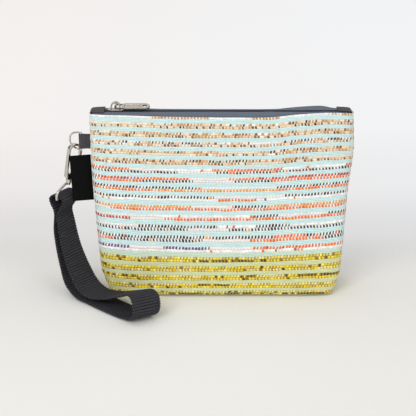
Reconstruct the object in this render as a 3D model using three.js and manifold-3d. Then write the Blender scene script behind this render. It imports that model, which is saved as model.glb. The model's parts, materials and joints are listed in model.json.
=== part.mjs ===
// Zipped wristlet pouch of woven striped fabric, with a clip-on webbing wrist strap.
// Millimetres, +Z up. The origin is the centre of the flat base, +X runs along the zip
// towards its right end and -Y is the front.
import * as THREE from 'three';
import { mergeVertices } from 'three/addons/utils/BufferGeometryUtils.js';
import Module from 'manifold-3d';

const wasm = await Module();
wasm.setup();

// Pouch body
const POUCH_HEIGHT = 162.5;
const TOP_WIDTH = 222.8;
const TOP_DEPTH = 24;
const BASE_WIDTH = 207.2;
const BASE_DEPTH = 40;
const SIDE_BULGE = 1.8;
const BELLY_BULGE = 2.5;
const BASE_FILLET = 7;
const SECTION_POWER = 6;
const FABRIC = 1.2;
const LINING = 0.5;
const LAYER_GAP = 0.35;
const LINING_DROP = 3;
const SEAM_GAP = 0.3;
const BACK_SEAM_HEIGHT = 10;

// Zip, lying flat between the two rims
const TAPE_THICKNESS = 0.7;
const TAPE_BELOW_RIM = 0.3;
const TAPE_SPLIT = 2.4;
const TAPE_CLEARANCE = 0.5;
const TAPE_END_INSET = 0.5;
const LEFT_SEWN_LENGTH = 49;
const RIGHT_SEWN_LENGTH = 27;
const STRETCH_GAP = 0.4;
const COIL_HEIGHT = 1.6;
const COIL_DROP = 0.3;
const COIL_PITCH = 2.6;
const COIL_TOOTH = 1.0;
const COIL_SPINE_NEAR = 1.1;
const COIL_SPINE_FAR = 2.0;
const COIL_REACH = 0.6;

// Fabric tabs sewn over the zip ends
const END_TAB_LENGTH = 11.5;
const END_TAB_WALL = 0.8;
const END_TAB_CLEARANCE = 0.4;

// Slider and pull
const SLIDER_LENGTH = 13.5;
const SLIDER_WIDTH = 8;
const SLIDER_NOSE_WIDTH = 5.2;
const SLIDER_PLATE = 1.2;
const SLIDER_TO_TAB = 2.6;
const SLIDER_TAPE_GAP = 0.4;
const SLIDER_POST_LENGTH = 2.4;
const SLIDER_POST_WIDTH = 1.2;
const SLIDER_FLANGE = 0.8;
const BRIDGE_INNER_RADIUS = 3;
const BRIDGE_WALL = 1.3;
const BRIDGE_WIDTH = 4.2;
const BRIDGE_RISE = 2.2;
const PULL_THICKNESS = 1.4;
const PULL_EYE_BAR = 1.9;
const PULL_EYE_GAP = 0.9;
const PULL_SIDE_GAP = 0.5;
const PULL_RAIL = 1.1;
const PULL_LENGTH = 30;
const PULL_WIDTH = 9;
const PULL_HOLE_RADIUS = 1.7;
const PULL_ROLL = 15;

// Side ribbon, D-ring and label
const RIBBON_WIDTH = 12.7;
const RIBBON_THICKNESS = 0.8;
const RIBBON_LENGTH = 10.2;
const RIBBON_BELOW_RIM = 27.1;
const RING_WIRE = 1.7;
const RING_INNER_HEIGHT = 13.4;
const RING_DEPTH = 11.5;
const RING_POWER = 2.4;
const RING_YAW = 28;
const RING_CLEARANCE = 0.3;
const RING_SEAT_GAP = 1.15;
const LABEL_WIDTH = 17.6;
const LABEL_LENGTH = 41;
const LABEL_BELOW_RING = 3.5;
const LABEL_LEAF = 0.5;
const LABEL_FOLD_GAP = 0.3;
const LABEL_YAW = 7.5;
const LABEL_SEAM_GAP = 0.4;

// Snap hook hanging on the ring
const HOOK_ON_RING = 6.5;
const HOOK_YAW = 37;
const HOOK_LEAN = 9;
const HOOK_OUTER_RADIUS = 6.7;
const HOOK_WALL = 2;
const HOOK_THICKNESS = 3.6;
const HOOK_SLOT = 2.2;
const HOOK_SPINE_LENGTH = 21;
const HOOK_BASE = 4.5;
const HOOK_NOSE = 3.6;
const TRIGGER_THICKNESS = 1.6;
const TRIGGER_BOSS_RADIUS = 2;
const TRIGGER_REACH = 7.6;
const PIN_RADIUS = 0.7;
const RUNNING_GAP = 0.3;
const SPRING_STRIP = 0.35;
const SPRING_SET_BACK = 1;

// Swivel and its strap eye
const SWIVEL_OFFSET = -2.4;
const SWIVEL_STEM_RADIUS = 1.2;
const SWIVEL_HEAD_RADIUS = 2;
const SWIVEL_HEAD = 1;
const KNUCKLE_RADIUS = 2.6;
const KNUCKLE_HEIGHT = 5;
const EYE_WIRE = 2.4;
const EYE_SIDE_GAP = 0.7;
const EYE_SHOULDER = 7;
const EYE_DROP = 12;
const EYE_STRAIGHT = 7;
const EYE_YAW = 60;

// Webbing wrist strap: one closed band, pinched and sewn just under the eye
const STRAP_WIDTH = 25.4;
const STRAP_THICKNESS = 1.8;
const STRAP_STEPS = 84;
const STRAP_EYE_SLACK = 1.3;
// Each row is a point of the band's middle line, across and along from the eye's bar and up from
// the table, and the bearing of the band's width there.
const STRAP_ROUTE = [
  [-4.5, 0.8, 71.5, 27],
  [-4.9, -1, 58, 29],
  [-2.7, -4.3, 43, 32],
  [1.2, -8.3, 26.3, 36],
  [6.4, -13.9, 11, 40],
  [15.8, -22.3, 2.8, 43],
  [28.7, -33.6, 1.4, 45],
  [47, -51.6, 1.4, 51],
  [60.9, -63.9, 1.5, 58],
  [69.5, -73.1, 5, 62],
  [72.1, -76.1, 12, 62],
  [71.3, -71.6, 19.3, 62],
  [67.2, -63.4, 21.8, 61],
  [57.6, -52.5, 16.2, 56],
  [41.7, -40.3, 8.6, 49],
  [28.3, -33.6, 7.4, 45],
  [19, -26.2, 11.4, 42],
  [10.1, -16.1, 24, 38],
  [3.4, -8.4, 40, 33],
  [-0.7, -3.2, 59, 29],
  [-2.5, -0.3, 71.5, 27],
  [-0.5, 0.2, 75.5, 28],
  [2.6, -1.2, 80.5, 30],
  [3.8, -1.9, 84.3, 30],
  [2.3, -1, 86.8, 30],
  [-1.3, 1.1, 87.5, 30],
  [-4.8, 3.1, 86.9, 30],
  [-6.6, 4.1, 84.4, 30],
  [-6, 3.7, 80.5, 30],
  [-4.7, 2.4, 75.5, 28],
];

// Facets
const SECTION_POINTS = 44;
const WALL_LEVELS = [0, 0.12, 0.3, 0.5, 0.7, 0.87, 1];
const FILLET_STEPS = 3;
const WIRE_SIDES = 8;
const ROUND_SIDES = 16;
const EDGE_STEPS = 8;
const BOW_POINTS = 12;
const RING_STEPS = 26;
const EYE_STEPS = 46;
const CUT_MARGIN = 5;
const SLOPE_SPAN = 1;
const WELD = 1e-4;

const rad = THREE.MathUtils.degToRad;
const lerp = THREE.MathUtils.lerp;

// Finishes
const finish = (color, roughness, metalness = 0) =>
  new THREE.MeshStandardMaterial({ color, roughness, metalness });
const WOVEN = finish('#d8d8bc', 0.75);
const LINING_CLOTH = finish('#4a4b50', 0.85);
const TAPE_CLOTH = finish('#717781', 0.8);
const COIL_PLASTIC = finish('#3f4348', 0.5);
const TAB_CLOTH = finish('#4a484d', 0.9);
const NICKEL = finish('#c8c2b8', 0.25, 1);
const STEEL = finish('#9a9a9a', 0.35, 1);
const WEBBING = finish('#39383d', 0.9);
const LABEL_CLOTH = finish('#111216', 0.8);

// Solids
function toSolid(geometry) {
  const bare = geometry.clone();
  bare.deleteAttribute('normal');
  bare.deleteAttribute('uv');
  const merged = mergeVertices(bare, WELD);
  return new wasm.Manifold(new wasm.Mesh({
    numProp: 3,
    vertProperties: new Float32Array(merged.attributes.position.array),
    triVerts: new Uint32Array(merged.index.array),
  }));
}

function toGeometry(solid) {
  const mesh = solid.getMesh();
  const positions = [];
  for (let i = 0; i < mesh.vertProperties.length; i += mesh.numProp) {
    positions.push(...mesh.vertProperties.slice(i, i + 3));
  }
  const geometry = new THREE.BufferGeometry();
  geometry.setAttribute('position', new THREE.Float32BufferAttribute(positions, 3));
  geometry.setIndex(Array.from(mesh.triVerts));
  geometry.computeVertexNormals();
  return geometry;
}

const join = (...geometries) =>
  toGeometry(geometries.map(toSolid).reduce((whole, piece) => whole.add(piece)));
const cut = (geometry, ...tools) =>
  toGeometry(tools.map(toSolid).reduce((whole, tool) => whole.subtract(tool), toSolid(geometry)));
const common = (a, b) => toGeometry(toSolid(a).intersect(toSolid(b)));

function boxBetween(x0, x1, y0, y1, z0, z1) {
  const box = new THREE.BoxGeometry(x1 - x0, y1 - y0, z1 - z0);
  return box.translate((x0 + x1) / 2, (y0 + y1) / 2, (z0 + z1) / 2);
}

function plate(shape, depth, curveSegments = ROUND_SIDES) {
  return new THREE.ExtrudeGeometry(shape, { depth, bevelEnabled: false, curveSegments });
}

// A flat outline in X and Z, given a thickness along Y that is centred on zero.
function uprightPlate(shape, thickness, curveSegments) {
  return plate(shape, thickness, curveSegments).rotateX(Math.PI / 2).translate(0, thickness / 2, 0);
}

function outline(points) {
  return new THREE.Shape(points.map(([x, y]) => new THREE.Vector2(x, y)));
}

function disc(x, y, radius) {
  return new THREE.Shape().absarc(x, y, radius, 0, 2 * Math.PI);
}

// A pin lying along Y.
function crossPin(x, z, radius, length) {
  return new THREE.CylinderGeometry(radius, radius, length, ROUND_SIDES).translate(x, 0, z);
}

function wireAlong(points, diameter, steps) {
  const path = new THREE.CatmullRomCurve3(points, false, 'centripetal');
  const section = disc(0, 0, diameter / 2);
  const options = { steps, extrudePath: path, bevelEnabled: false, curveSegments: WIRE_SIDES };
  return new THREE.ExtrudeGeometry(section, options);
}

const group = new THREE.Group();
function addTo(parent, name, geometry, material) {
  const mesh = new THREE.Mesh(geometry, material);
  mesh.name = name;
  parent.add(mesh);
}
const add = (name, geometry, material) => addTo(group, name, geometry, material);

// Pouch: half width and half depth at a height, bulging a little between base and rim
const bulge = (level) => 4 * level * (1 - level);
function halfWidth(z) {
  const level = z / POUCH_HEIGHT;
  return lerp(BASE_WIDTH, TOP_WIDTH, level) / 2 + SIDE_BULGE * bulge(level);
}
function halfDepth(z) {
  const level = z / POUCH_HEIGHT;
  return lerp(BASE_DEPTH, TOP_DEPTH, level) / 2 + BELLY_BULGE * bulge(level);
}

function sectionRing(a, b, z) {
  const power = (v) => Math.sign(v) * Math.abs(v) ** (2 / SECTION_POWER);
  return Array.from({ length: SECTION_POINTS }, (_, i) => {
    const turn = (2 * Math.PI * i) / SECTION_POINTS;
    return new THREE.Vector3(a * power(Math.cos(turn)), b * power(Math.sin(turn)), z);
  });
}

// Closed loft through rings of equal point count, with flat ends.
function loft(rings) {
  const count = rings[0].length;
  const positions = rings.flat().flatMap((p) => [p.x, p.y, p.z]);
  const index = [];
  for (let r = 0; r + 1 < rings.length; r += 1) {
    for (let i = 0; i < count; i += 1) {
      const j = (i + 1) % count;
      const [a, b, c, d] = [r * count + i, r * count + j, (r + 1) * count + j, (r + 1) * count + i];
      index.push(a, b, c, a, c, d);
    }
  }
  const top = (rings.length - 1) * count;
  const flat = (ring) => ring.map((p) => new THREE.Vector2(p.x, p.y));
  for (const [a, b, c] of THREE.ShapeUtils.triangulateShape(flat(rings[0]), [])) index.push(a, c, b);
  for (const [a, b, c] of THREE.ShapeUtils.triangulateShape(flat(rings.at(-1)), [])) {
    index.push(top + a, top + b, top + c);
  }
  const geometry = new THREE.BufferGeometry();
  geometry.setAttribute('position', new THREE.Float32BufferAttribute(positions, 3));
  geometry.setIndex(index);
  return geometry;
}

// The pouch as a full block, drawn in by an inset on every side but its open top.
function pouchBlock(inset, topZ) {
  const radius = BASE_FILLET - inset;
  const rings = [];
  for (let i = 0; i < FILLET_STEPS; i += 1) {
    const turn = (Math.PI / 2) * (i / FILLET_STEPS);
    const drawnIn = inset + radius * (1 - Math.sin(turn));
    rings.push([drawnIn, inset + radius * (1 - Math.cos(turn))]);
  }
  for (const level of WALL_LEVELS) rings.push([inset, lerp(BASE_FILLET, topZ, level)]);
  return loft(rings.map(([d, z]) => sectionRing(halfWidth(z) - d, halfDepth(z) - d, z)));
}

function pouchShell(inset, thickness, rimZ) {
  return cut(pouchBlock(inset, rimZ), pouchBlock(inset + thickness, rimZ + CUT_MARGIN));
}

// The front piece runs under the base and up to a low seam on the back.
function splitShell(shell) {
  const far = TOP_WIDTH;
  const behind = (gap, side) => boxBetween(
    -far, far, (side * gap) / 2, far, BACK_SEAM_HEIGHT + (side * gap) / 2, far);
  return [cut(shell, behind(SEAM_GAP, -1)), common(shell, behind(SEAM_GAP, 1))];
}

const [frontPanel, backPanel] = splitShell(pouchShell(0, FABRIC, POUCH_HEIGHT));
add('front_panel', frontPanel, WOVEN);
add('back_panel', backPanel, WOVEN);

const liningInset = FABRIC + LAYER_GAP;
const [frontLining, backLining] = splitShell(
  pouchShell(liningInset, LINING, POUCH_HEIGHT - LINING_DROP));
add('front_lining', frontLining, LINING_CLOTH);
add('back_lining', backLining, LINING_CLOTH);

// Zip: heights and the inner outline of the rim that the tapes follow
const tapeTop = POUCH_HEIGHT - TAPE_BELOW_RIM;
const tapeBottom = tapeTop - TAPE_THICKNESS;
const coilTop = tapeBottom - COIL_DROP;
const coilBottom = coilTop - COIL_HEIGHT;
const rimHalfWidth = halfWidth(POUCH_HEIGHT) - FABRIC;
const rimHalfDepth = halfDepth(POUCH_HEIGHT) - FABRIC;

function rimEdge(x, clearance) {
  const share = Math.min(1, Math.abs(x) / (rimHalfWidth - clearance));
  return (rimHalfDepth - clearance) * (1 - share ** SECTION_POWER) ** (1 / SECTION_POWER);
}

function stations(x0, x1) {
  return Array.from({ length: EDGE_STEPS + 1 }, (_, i) => lerp(x0, x1, i / EDGE_STEPS));
}

// Half a tape between two stations; side -1 is the front half and +1 the back half.
function tapeHalf(x0, x1, side) {
  const outer = stations(x0, x1).map((x) => [x, side * rimEdge(x, TAPE_CLEARANCE)]);
  const inner = [[x1, (side * TAPE_SPLIT) / 2], [x0, (side * TAPE_SPLIT) / 2]];
  return plate(outline([...outer, ...inner]), TAPE_THICKNESS).translate(0, 0, tapeBottom);
}

// A row of coil turns along one tape edge; the two rows stand half a pitch apart and mesh.
function coilRow(x0, x1, side) {
  const shift = side < 0 ? 0 : COIL_PITCH / 2;
  const points = [[x0, side * COIL_SPINE_FAR], [x0, side * COIL_SPINE_NEAR]];
  const first = Math.ceil((x0 + COIL_TOOTH - shift) / COIL_PITCH);
  for (let i = first; i * COIL_PITCH + shift + COIL_TOOTH < x1; i += 1) {
    const x = i * COIL_PITCH + shift;
    const [left, right] = [x - COIL_TOOTH / 2, x + COIL_TOOTH / 2];
    points.push([left, side * COIL_SPINE_NEAR], [left, -side * COIL_REACH]);
    points.push([right, -side * COIL_REACH], [right, side * COIL_SPINE_NEAR]);
  }
  points.push([x1, side * COIL_SPINE_NEAR], [x1, side * COIL_SPINE_FAR]);
  return plate(outline(points), COIL_HEIGHT).translate(0, 0, coilBottom);
}

const tapeEnd = rimHalfWidth - TAPE_CLEARANCE - END_TAB_WALL - TAPE_END_INSET;
const tabInner = rimHalfWidth - END_TAB_CLEARANCE - END_TAB_LENGTH;
const sliderLeft = -tabInner + SLIDER_TO_TAB;
const sliderRight = sliderLeft + SLIDER_LENGTH;
const coilStart = sliderLeft + SLIDER_POST_LENGTH + STRETCH_GAP;
const leftSewnEnd = -tapeEnd + LEFT_SEWN_LENGTH;
const rightSewnStart = tapeEnd - RIGHT_SEWN_LENGTH;
const coilEnd = tabInner - STRETCH_GAP;
const halfGap = STRETCH_GAP / 2;
const [openStart, openEnd] = [leftSewnEnd + halfGap, rightSewnStart - halfGap];

const stretches = [
  ['left', -tapeEnd, leftSewnEnd - halfGap, coilStart, leftSewnEnd - halfGap],
  ['middle', openStart, openEnd, openStart, openEnd],
  ['right', rightSewnStart + halfGap, tapeEnd, rightSewnStart + halfGap, coilEnd],
];
for (const [half, side] of [['front', -1], ['back', 1]]) {
  for (const [stretch, tape0, tape1, coil0, coil1] of stretches) {
    add(`zip_tape_${half}_${stretch}`, tapeHalf(tape0, tape1, side), TAPE_CLOTH);
    add(`zip_coil_${half}_${stretch}`, coilRow(coil0, coil1, side), COIL_PLASTIC);
  }
}

// End tab: a strip folded round the cut end of both tapes
function endTab(side) {
  const [x0, x1] = [tabInner, rimHalfWidth - END_TAB_CLEARANCE];
  const edge = (sign) => stations(x0, x1).map((x) => [side * x, sign * rimEdge(x, END_TAB_CLEARANCE)]);
  const folded = outline([...edge(1), ...edge(-1).reverse().slice(1)]);
  const slotBottom = tapeBottom - END_TAB_CLEARANCE;
  const slotTop = tapeTop + END_TAB_CLEARANCE;
  const height = slotTop - slotBottom + 2 * END_TAB_WALL;
  const block = plate(folded, height).translate(0, 0, slotBottom - END_TAB_WALL);
  const slotEnd = x1 - END_TAB_WALL;
  const ends = [side * slotEnd, side * (x0 - CUT_MARGIN)].sort((a, b) => a - b);
  return cut(block, boxBetween(...ends, -TOP_DEPTH, TOP_DEPTH, slotBottom, slotTop));
}
add('zip_end_tab_left', endTab(-1), TAB_CLOTH);
add('zip_end_tab_right', endTab(1), TAB_CLOTH);

// Slider: two plates joined by the post that parts the coils, flanges below and a bridge above
const plateTopZ = tapeTop + SLIDER_TAPE_GAP + SLIDER_PLATE;
const plateLowZ = coilBottom - SLIDER_TAPE_GAP - SLIDER_PLATE;
const bridgeX = (sliderLeft + sliderRight) / 2;
const bridgeZ = plateTopZ + BRIDGE_RISE;

function sliderPlan() {
  const [half, nose, chamfer] = [SLIDER_WIDTH / 2, SLIDER_NOSE_WIDTH / 2, SLIDER_POST_LENGTH];
  return outline([
    [sliderLeft, nose], [sliderLeft, -nose], [sliderLeft + chamfer, -half],
    [sliderRight - SLIDER_PLATE, -half], [sliderRight, -nose],
    [sliderRight, nose], [sliderRight - SLIDER_PLATE, half], [sliderLeft + chamfer, half],
  ]);
}

function sliderBody() {
  const top = plate(sliderPlan(), SLIDER_PLATE).translate(0, 0, plateTopZ - SLIDER_PLATE);
  const bottom = plate(sliderPlan(), SLIDER_PLATE).translate(0, 0, plateLowZ);
  const postHalf = SLIDER_POST_WIDTH / 2;
  const post = boxBetween(
    sliderLeft, sliderLeft + SLIDER_POST_LENGTH, -postHalf, postHalf, plateLowZ, plateTopZ);
  const flangeTop = tapeBottom - SLIDER_TAPE_GAP;
  const flange = (side) => {
    const ys = [side * (SLIDER_WIDTH / 2 - SLIDER_FLANGE), (side * SLIDER_WIDTH) / 2].sort((a, b) => a - b);
    return boxBetween(
      sliderLeft + SLIDER_POST_LENGTH, sliderRight - SLIDER_PLATE, ...ys, plateLowZ, flangeTop);
  };
  const outer = BRIDGE_INNER_RADIUS + BRIDGE_WALL;
  const foot = plateTopZ - SLIDER_PLATE / 2;
  const arch = new THREE.Shape();
  arch.moveTo(bridgeX + outer, foot);
  arch.lineTo(bridgeX + outer, bridgeZ);
  arch.absarc(bridgeX, bridgeZ, outer, 0, Math.PI, false);
  arch.lineTo(bridgeX - outer, foot);
  arch.lineTo(bridgeX - BRIDGE_INNER_RADIUS, foot);
  arch.lineTo(bridgeX - BRIDGE_INNER_RADIUS, bridgeZ);
  arch.absarc(bridgeX, bridgeZ, BRIDGE_INNER_RADIUS, Math.PI, 0, true);
  arch.lineTo(bridgeX + BRIDGE_INNER_RADIUS, foot);
  return join(top, bottom, post, flange(-1), flange(1), uprightPlate(arch, BRIDGE_WIDTH));
}
add('zip_slider', sliderBody(), NICKEL);

// Pull: a flat tab whose eye runs round the bridge, lying along the zip and rolled to the front
function pullTab() {
  const eyeFar = BRIDGE_INNER_RADIUS + BRIDGE_WALL + PULL_EYE_GAP;
  const eyeEnd = eyeFar + PULL_RAIL;
  const [eyeHalf, half] = [BRIDGE_WIDTH / 2 + PULL_SIDE_GAP + PULL_RAIL, PULL_WIDTH / 2];
  const start = -PULL_EYE_BAR / 2;
  const tip = PULL_LENGTH + start - half;
  const shape = new THREE.Shape();
  shape.moveTo(start, -eyeHalf);
  shape.lineTo(eyeEnd, -eyeHalf);
  shape.lineTo(eyeEnd + half - eyeHalf + PULL_RAIL, -half);
  shape.lineTo(tip, -half);
  shape.absarc(tip, 0, half, -Math.PI / 2, Math.PI / 2, false);
  shape.lineTo(eyeEnd + half - eyeHalf + PULL_RAIL, half);
  shape.lineTo(eyeEnd, eyeHalf);
  shape.lineTo(start, eyeHalf);
  const railEdge = eyeHalf - PULL_RAIL;
  shape.holes.push(outline([
    [-start, -railEdge], [-start, railEdge], [eyeFar, railEdge], [eyeFar, -railEdge]]));
  shape.holes.push(disc(tip, 0, PULL_HOLE_RADIUS));
  return plate(shape, PULL_THICKNESS).translate(0, 0, -PULL_THICKNESS / 2);
}
const pull = new THREE.Group();
pull.name = 'pull_pivot';
pull.position.set(bridgeX, 0, bridgeZ);
pull.rotation.x = rad(PULL_ROLL);
group.add(pull);
addTo(pull, 'slider_pull', pullTab(), NICKEL);

// Side ribbon, folded round the straight bar of the D-ring
const pouchClear = pouchBlock(-SEAM_GAP, POUCH_HEIGHT);
const ribbonZ = POUCH_HEIGHT - RIBBON_BELOW_RIM;
const ringBarX = -halfWidth(ribbonZ) - RIBBON_LENGTH
  + RIBBON_THICKNESS + RING_CLEARANCE + RING_WIRE / 2;

function foldedRibbon() {
  const inner = RING_WIRE / 2 + RING_CLEARANCE;
  const outer = inner + RIBBON_THICKNESS;
  const rootX = ringBarX + RIBBON_LENGTH;
  const fold = new THREE.Shape();
  fold.moveTo(rootX, outer);
  fold.lineTo(ringBarX, outer);
  fold.absarc(ringBarX, 0, outer, Math.PI / 2, (3 * Math.PI) / 2, false);
  fold.lineTo(rootX, -outer);
  fold.lineTo(rootX, -inner);
  fold.lineTo(ringBarX, -inner);
  fold.absarc(ringBarX, 0, inner, (3 * Math.PI) / 2, Math.PI / 2, true);
  fold.lineTo(rootX, inner);
  const ribbon = plate(fold, RIBBON_WIDTH).translate(0, 0, ribbonZ - RIBBON_WIDTH / 2);
  return cut(ribbon, pouchClear);
}
add('ring_ribbon', foldedRibbon(), TAB_CLOTH);

// D-ring: a straight bar and a bowed side, in a plane that swings about the bar
const ring = new THREE.Group();
ring.name = 'ring_pivot';
ring.position.set(ringBarX, 0, ribbonZ);
ring.rotation.z = Math.PI - rad(RING_YAW);
group.add(ring);

const ringHalf = RING_INNER_HEIGHT / 2 + RING_WIRE / 2;
const ringHeightAt = (reach) => ringHalf * (1 - (reach / RING_DEPTH) ** RING_POWER) ** (1 / RING_POWER);

function dRing() {
  const bow = [];
  for (let i = 0; i <= BOW_POINTS; i += 1) {
    const turn = Math.PI * (i / BOW_POINTS);
    const reach = RING_DEPTH * Math.sin(turn) ** (2 / RING_POWER);
    const height = Math.sign(Math.cos(turn)) * ringHalf * Math.abs(Math.cos(turn)) ** (2 / RING_POWER);
    bow.push(new THREE.Vector3(reach, 0, height));
  }
  const bar = new THREE.CylinderGeometry(
    RING_WIRE / 2, RING_WIRE / 2, 2 * ringHalf + RING_WIRE, ROUND_SIDES);
  return join(wireAlong(bow, RING_WIRE, RING_STEPS), bar.rotateX(Math.PI / 2));
}
addTo(ring, 'd_ring', dRing(), NICKEL);

// Label: a woven strip folded double, its cut ends caught in the side seam
const slopeAt = (z) => Math.atan((halfWidth(z + SLOPE_SPAN) - halfWidth(z)) / SLOPE_SPAN);
const labelHalf = LABEL_LEAF + LABEL_FOLD_GAP / 2;
const label = new THREE.Group();
label.name = 'label_pivot';
const labelZ = ribbonZ - ringHalf - RING_WIRE / 2 - LABEL_BELOW_RING - LABEL_LENGTH / 2;
label.position.set(-halfWidth(labelZ) - LABEL_SEAM_GAP - labelHalf, 0, labelZ);
label.rotation.y = -slopeAt(labelZ);
group.add(label);

function foldedLabel() {
  const far = -LABEL_WIDTH + labelHalf;
  const shape = new THREE.Shape();
  shape.moveTo(0, labelHalf);
  shape.lineTo(far, labelHalf);
  shape.absarc(far, 0, labelHalf, Math.PI / 2, (3 * Math.PI) / 2, false);
  shape.lineTo(0, -labelHalf);
  shape.absarc(0, 0, labelHalf, -Math.PI / 2, Math.PI / 2, false);
  const gapHalf = LABEL_FOLD_GAP / 2;
  shape.holes.push(outline([
    [far, -gapHalf], [far, gapHalf], [-labelHalf, gapHalf], [-labelHalf, -gapHalf]]));
  return plate(shape, LABEL_LENGTH, WIRE_SIDES).translate(0, 0, -LABEL_LENGTH / 2).rotateZ(rad(LABEL_YAW));
}
addTo(label, 'side_label', foldedLabel(), LABEL_CLOTH);

// Snap hook frame: the local origin is the ring's wire where the hook hangs on it,
// local X runs across the hook to its gate and local Z up the hook
const hang = new THREE.Vector3(HOOK_ON_RING, 0, -ringHeightAt(HOOK_ON_RING));
ring.updateMatrixWorld(true);
const clasp = new THREE.Group();
clasp.position.copy(ring.localToWorld(hang));
clasp.rotation.y = rad(HOOK_LEAN);
group.add(clasp);
const hook = new THREE.Group();
hook.name = 'hook_pivot';
hook.rotation.z = rad(HOOK_YAW);
clasp.add(hook);

const hookInner = HOOK_OUTER_RADIUS - HOOK_WALL;
const archZ = -(hookInner - RING_WIRE / 2 - RING_SEAT_GAP);
const noseZ = archZ - HOOK_NOSE;
const baseTop = archZ - HOOK_SPINE_LENGTH;
const baseBottom = baseTop - HOOK_BASE;
const pinX = hookInner - TRIGGER_BOSS_RADIUS / 2;
const pinZ = baseTop + TRIGGER_BOSS_RADIUS + RUNNING_GAP;
const cheekRadius = TRIGGER_BOSS_RADIUS + HOOK_WALL / 2;

function hookBody() {
  const [r, inner] = [HOOK_OUTER_RADIUS, hookInner];
  const frame = new THREE.Shape();
  frame.moveTo(r, noseZ);
  frame.lineTo(r, archZ);
  frame.absarc(0, archZ, r, 0, Math.PI, false);
  frame.lineTo(-r, baseBottom + HOOK_WALL);
  frame.lineTo(-r + HOOK_WALL, baseBottom);
  frame.lineTo(pinX + cheekRadius - HOOK_WALL, baseBottom);
  frame.lineTo(pinX + cheekRadius, baseBottom + HOOK_WALL);
  frame.lineTo(pinX + cheekRadius, pinZ);
  frame.absarc(pinX, pinZ, cheekRadius, 0, Math.PI, false);
  frame.lineTo(pinX - cheekRadius, baseTop);
  frame.lineTo(-inner, baseTop);
  frame.lineTo(-inner, archZ);
  frame.absarc(0, archZ, inner, Math.PI, 0, true);
  frame.lineTo(inner, noseZ);
  const slot = boxBetween(
    pinX - cheekRadius - CUT_MARGIN, pinX + cheekRadius + CUT_MARGIN, -HOOK_SLOT / 2, HOOK_SLOT / 2,
    baseTop, pinZ + cheekRadius + CUT_MARGIN);
  const stemHole = new THREE.CylinderGeometry(
    SWIVEL_STEM_RADIUS + RUNNING_GAP, SWIVEL_STEM_RADIUS + RUNNING_GAP, 3 * HOOK_BASE, ROUND_SIDES);
  stemHole.rotateX(Math.PI / 2).translate(SWIVEL_OFFSET, 0, baseTop - HOOK_BASE / 2);
  return cut(
    uprightPlate(frame, HOOK_THICKNESS), slot, stemHole,
    crossPin(pinX, pinZ, PIN_RADIUS + RUNNING_GAP, 2 * HOOK_THICKNESS));
}
addTo(hook, 'hook_body', hookBody(), NICKEL);

// Trigger: the sprung gate, closing on the nose, with a thumb lever outside
const gate = new THREE.Group();
gate.name = 'trigger_pivot';
gate.position.set(pinX, 0, pinZ);
hook.add(gate);

function trigger() {
  const tipZ = noseZ - RUNNING_GAP - pinZ;
  const innerX = hookInner - pinX;
  const outerX = HOOK_OUTER_RADIUS - pinX;
  const boss = TRIGGER_BOSS_RADIUS;
  const leverTop = cheekRadius + HOOK_WALL;
  const lever = TRIGGER_REACH - pinX;
  const shape = new THREE.Shape();
  shape.moveTo(boss, 0);
  shape.lineTo(boss, cheekRadius + RUNNING_GAP);
  shape.lineTo(lever, leverTop);
  shape.lineTo(lever, leverTop + HOOK_WALL / 2);
  shape.lineTo(outerX, leverTop + HOOK_WALL);
  shape.lineTo(outerX, tipZ);
  shape.lineTo(innerX, tipZ);
  shape.lineTo(innerX - HOOK_WALL / 2, leverTop);
  shape.lineTo(-boss, boss / 2);
  shape.lineTo(-boss, 0);
  shape.absarc(0, 0, boss, Math.PI, 2 * Math.PI, false);
  return cut(
    uprightPlate(shape, TRIGGER_THICKNESS),
    crossPin(0, 0, PIN_RADIUS + RUNNING_GAP, 2 * HOOK_THICKNESS));
}
addTo(gate, 'hook_trigger', trigger(), NICKEL);
addTo(gate, 'trigger_pin', crossPin(0, 0, PIN_RADIUS, HOOK_THICKNESS), STEEL);

// Spring: a bent strip in the slot that pushes the gate against the nose
function springStrip() {
  const start = pinX - cheekRadius + SPRING_STRIP - SPRING_SET_BACK;
  const tip = pinX - TRIGGER_BOSS_RADIUS - RUNNING_GAP;
  const foot = baseTop + RUNNING_GAP;
  const top = pinZ + RUNNING_GAP;
  const shape = outline([
    [start, foot], [tip - SPRING_STRIP, top], [tip, top], [start + 2 * SPRING_STRIP, foot]]);
  return uprightPlate(shape, TRIGGER_THICKNESS);
}
addTo(hook, 'trigger_spring', springStrip(), STEEL);

// Swivel: a headed stem through the hook's base, a knuckle and a wire eye for the strap
const swivel = new THREE.Group();
swivel.name = 'swivel_pivot';
const across = new THREE.Vector3(SWIVEL_OFFSET, 0, 0).applyEuler(hook.rotation);
swivel.position.set(across.x, across.y, baseBottom);
swivel.rotation.z = rad(EYE_YAW);
clasp.add(swivel);

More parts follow.
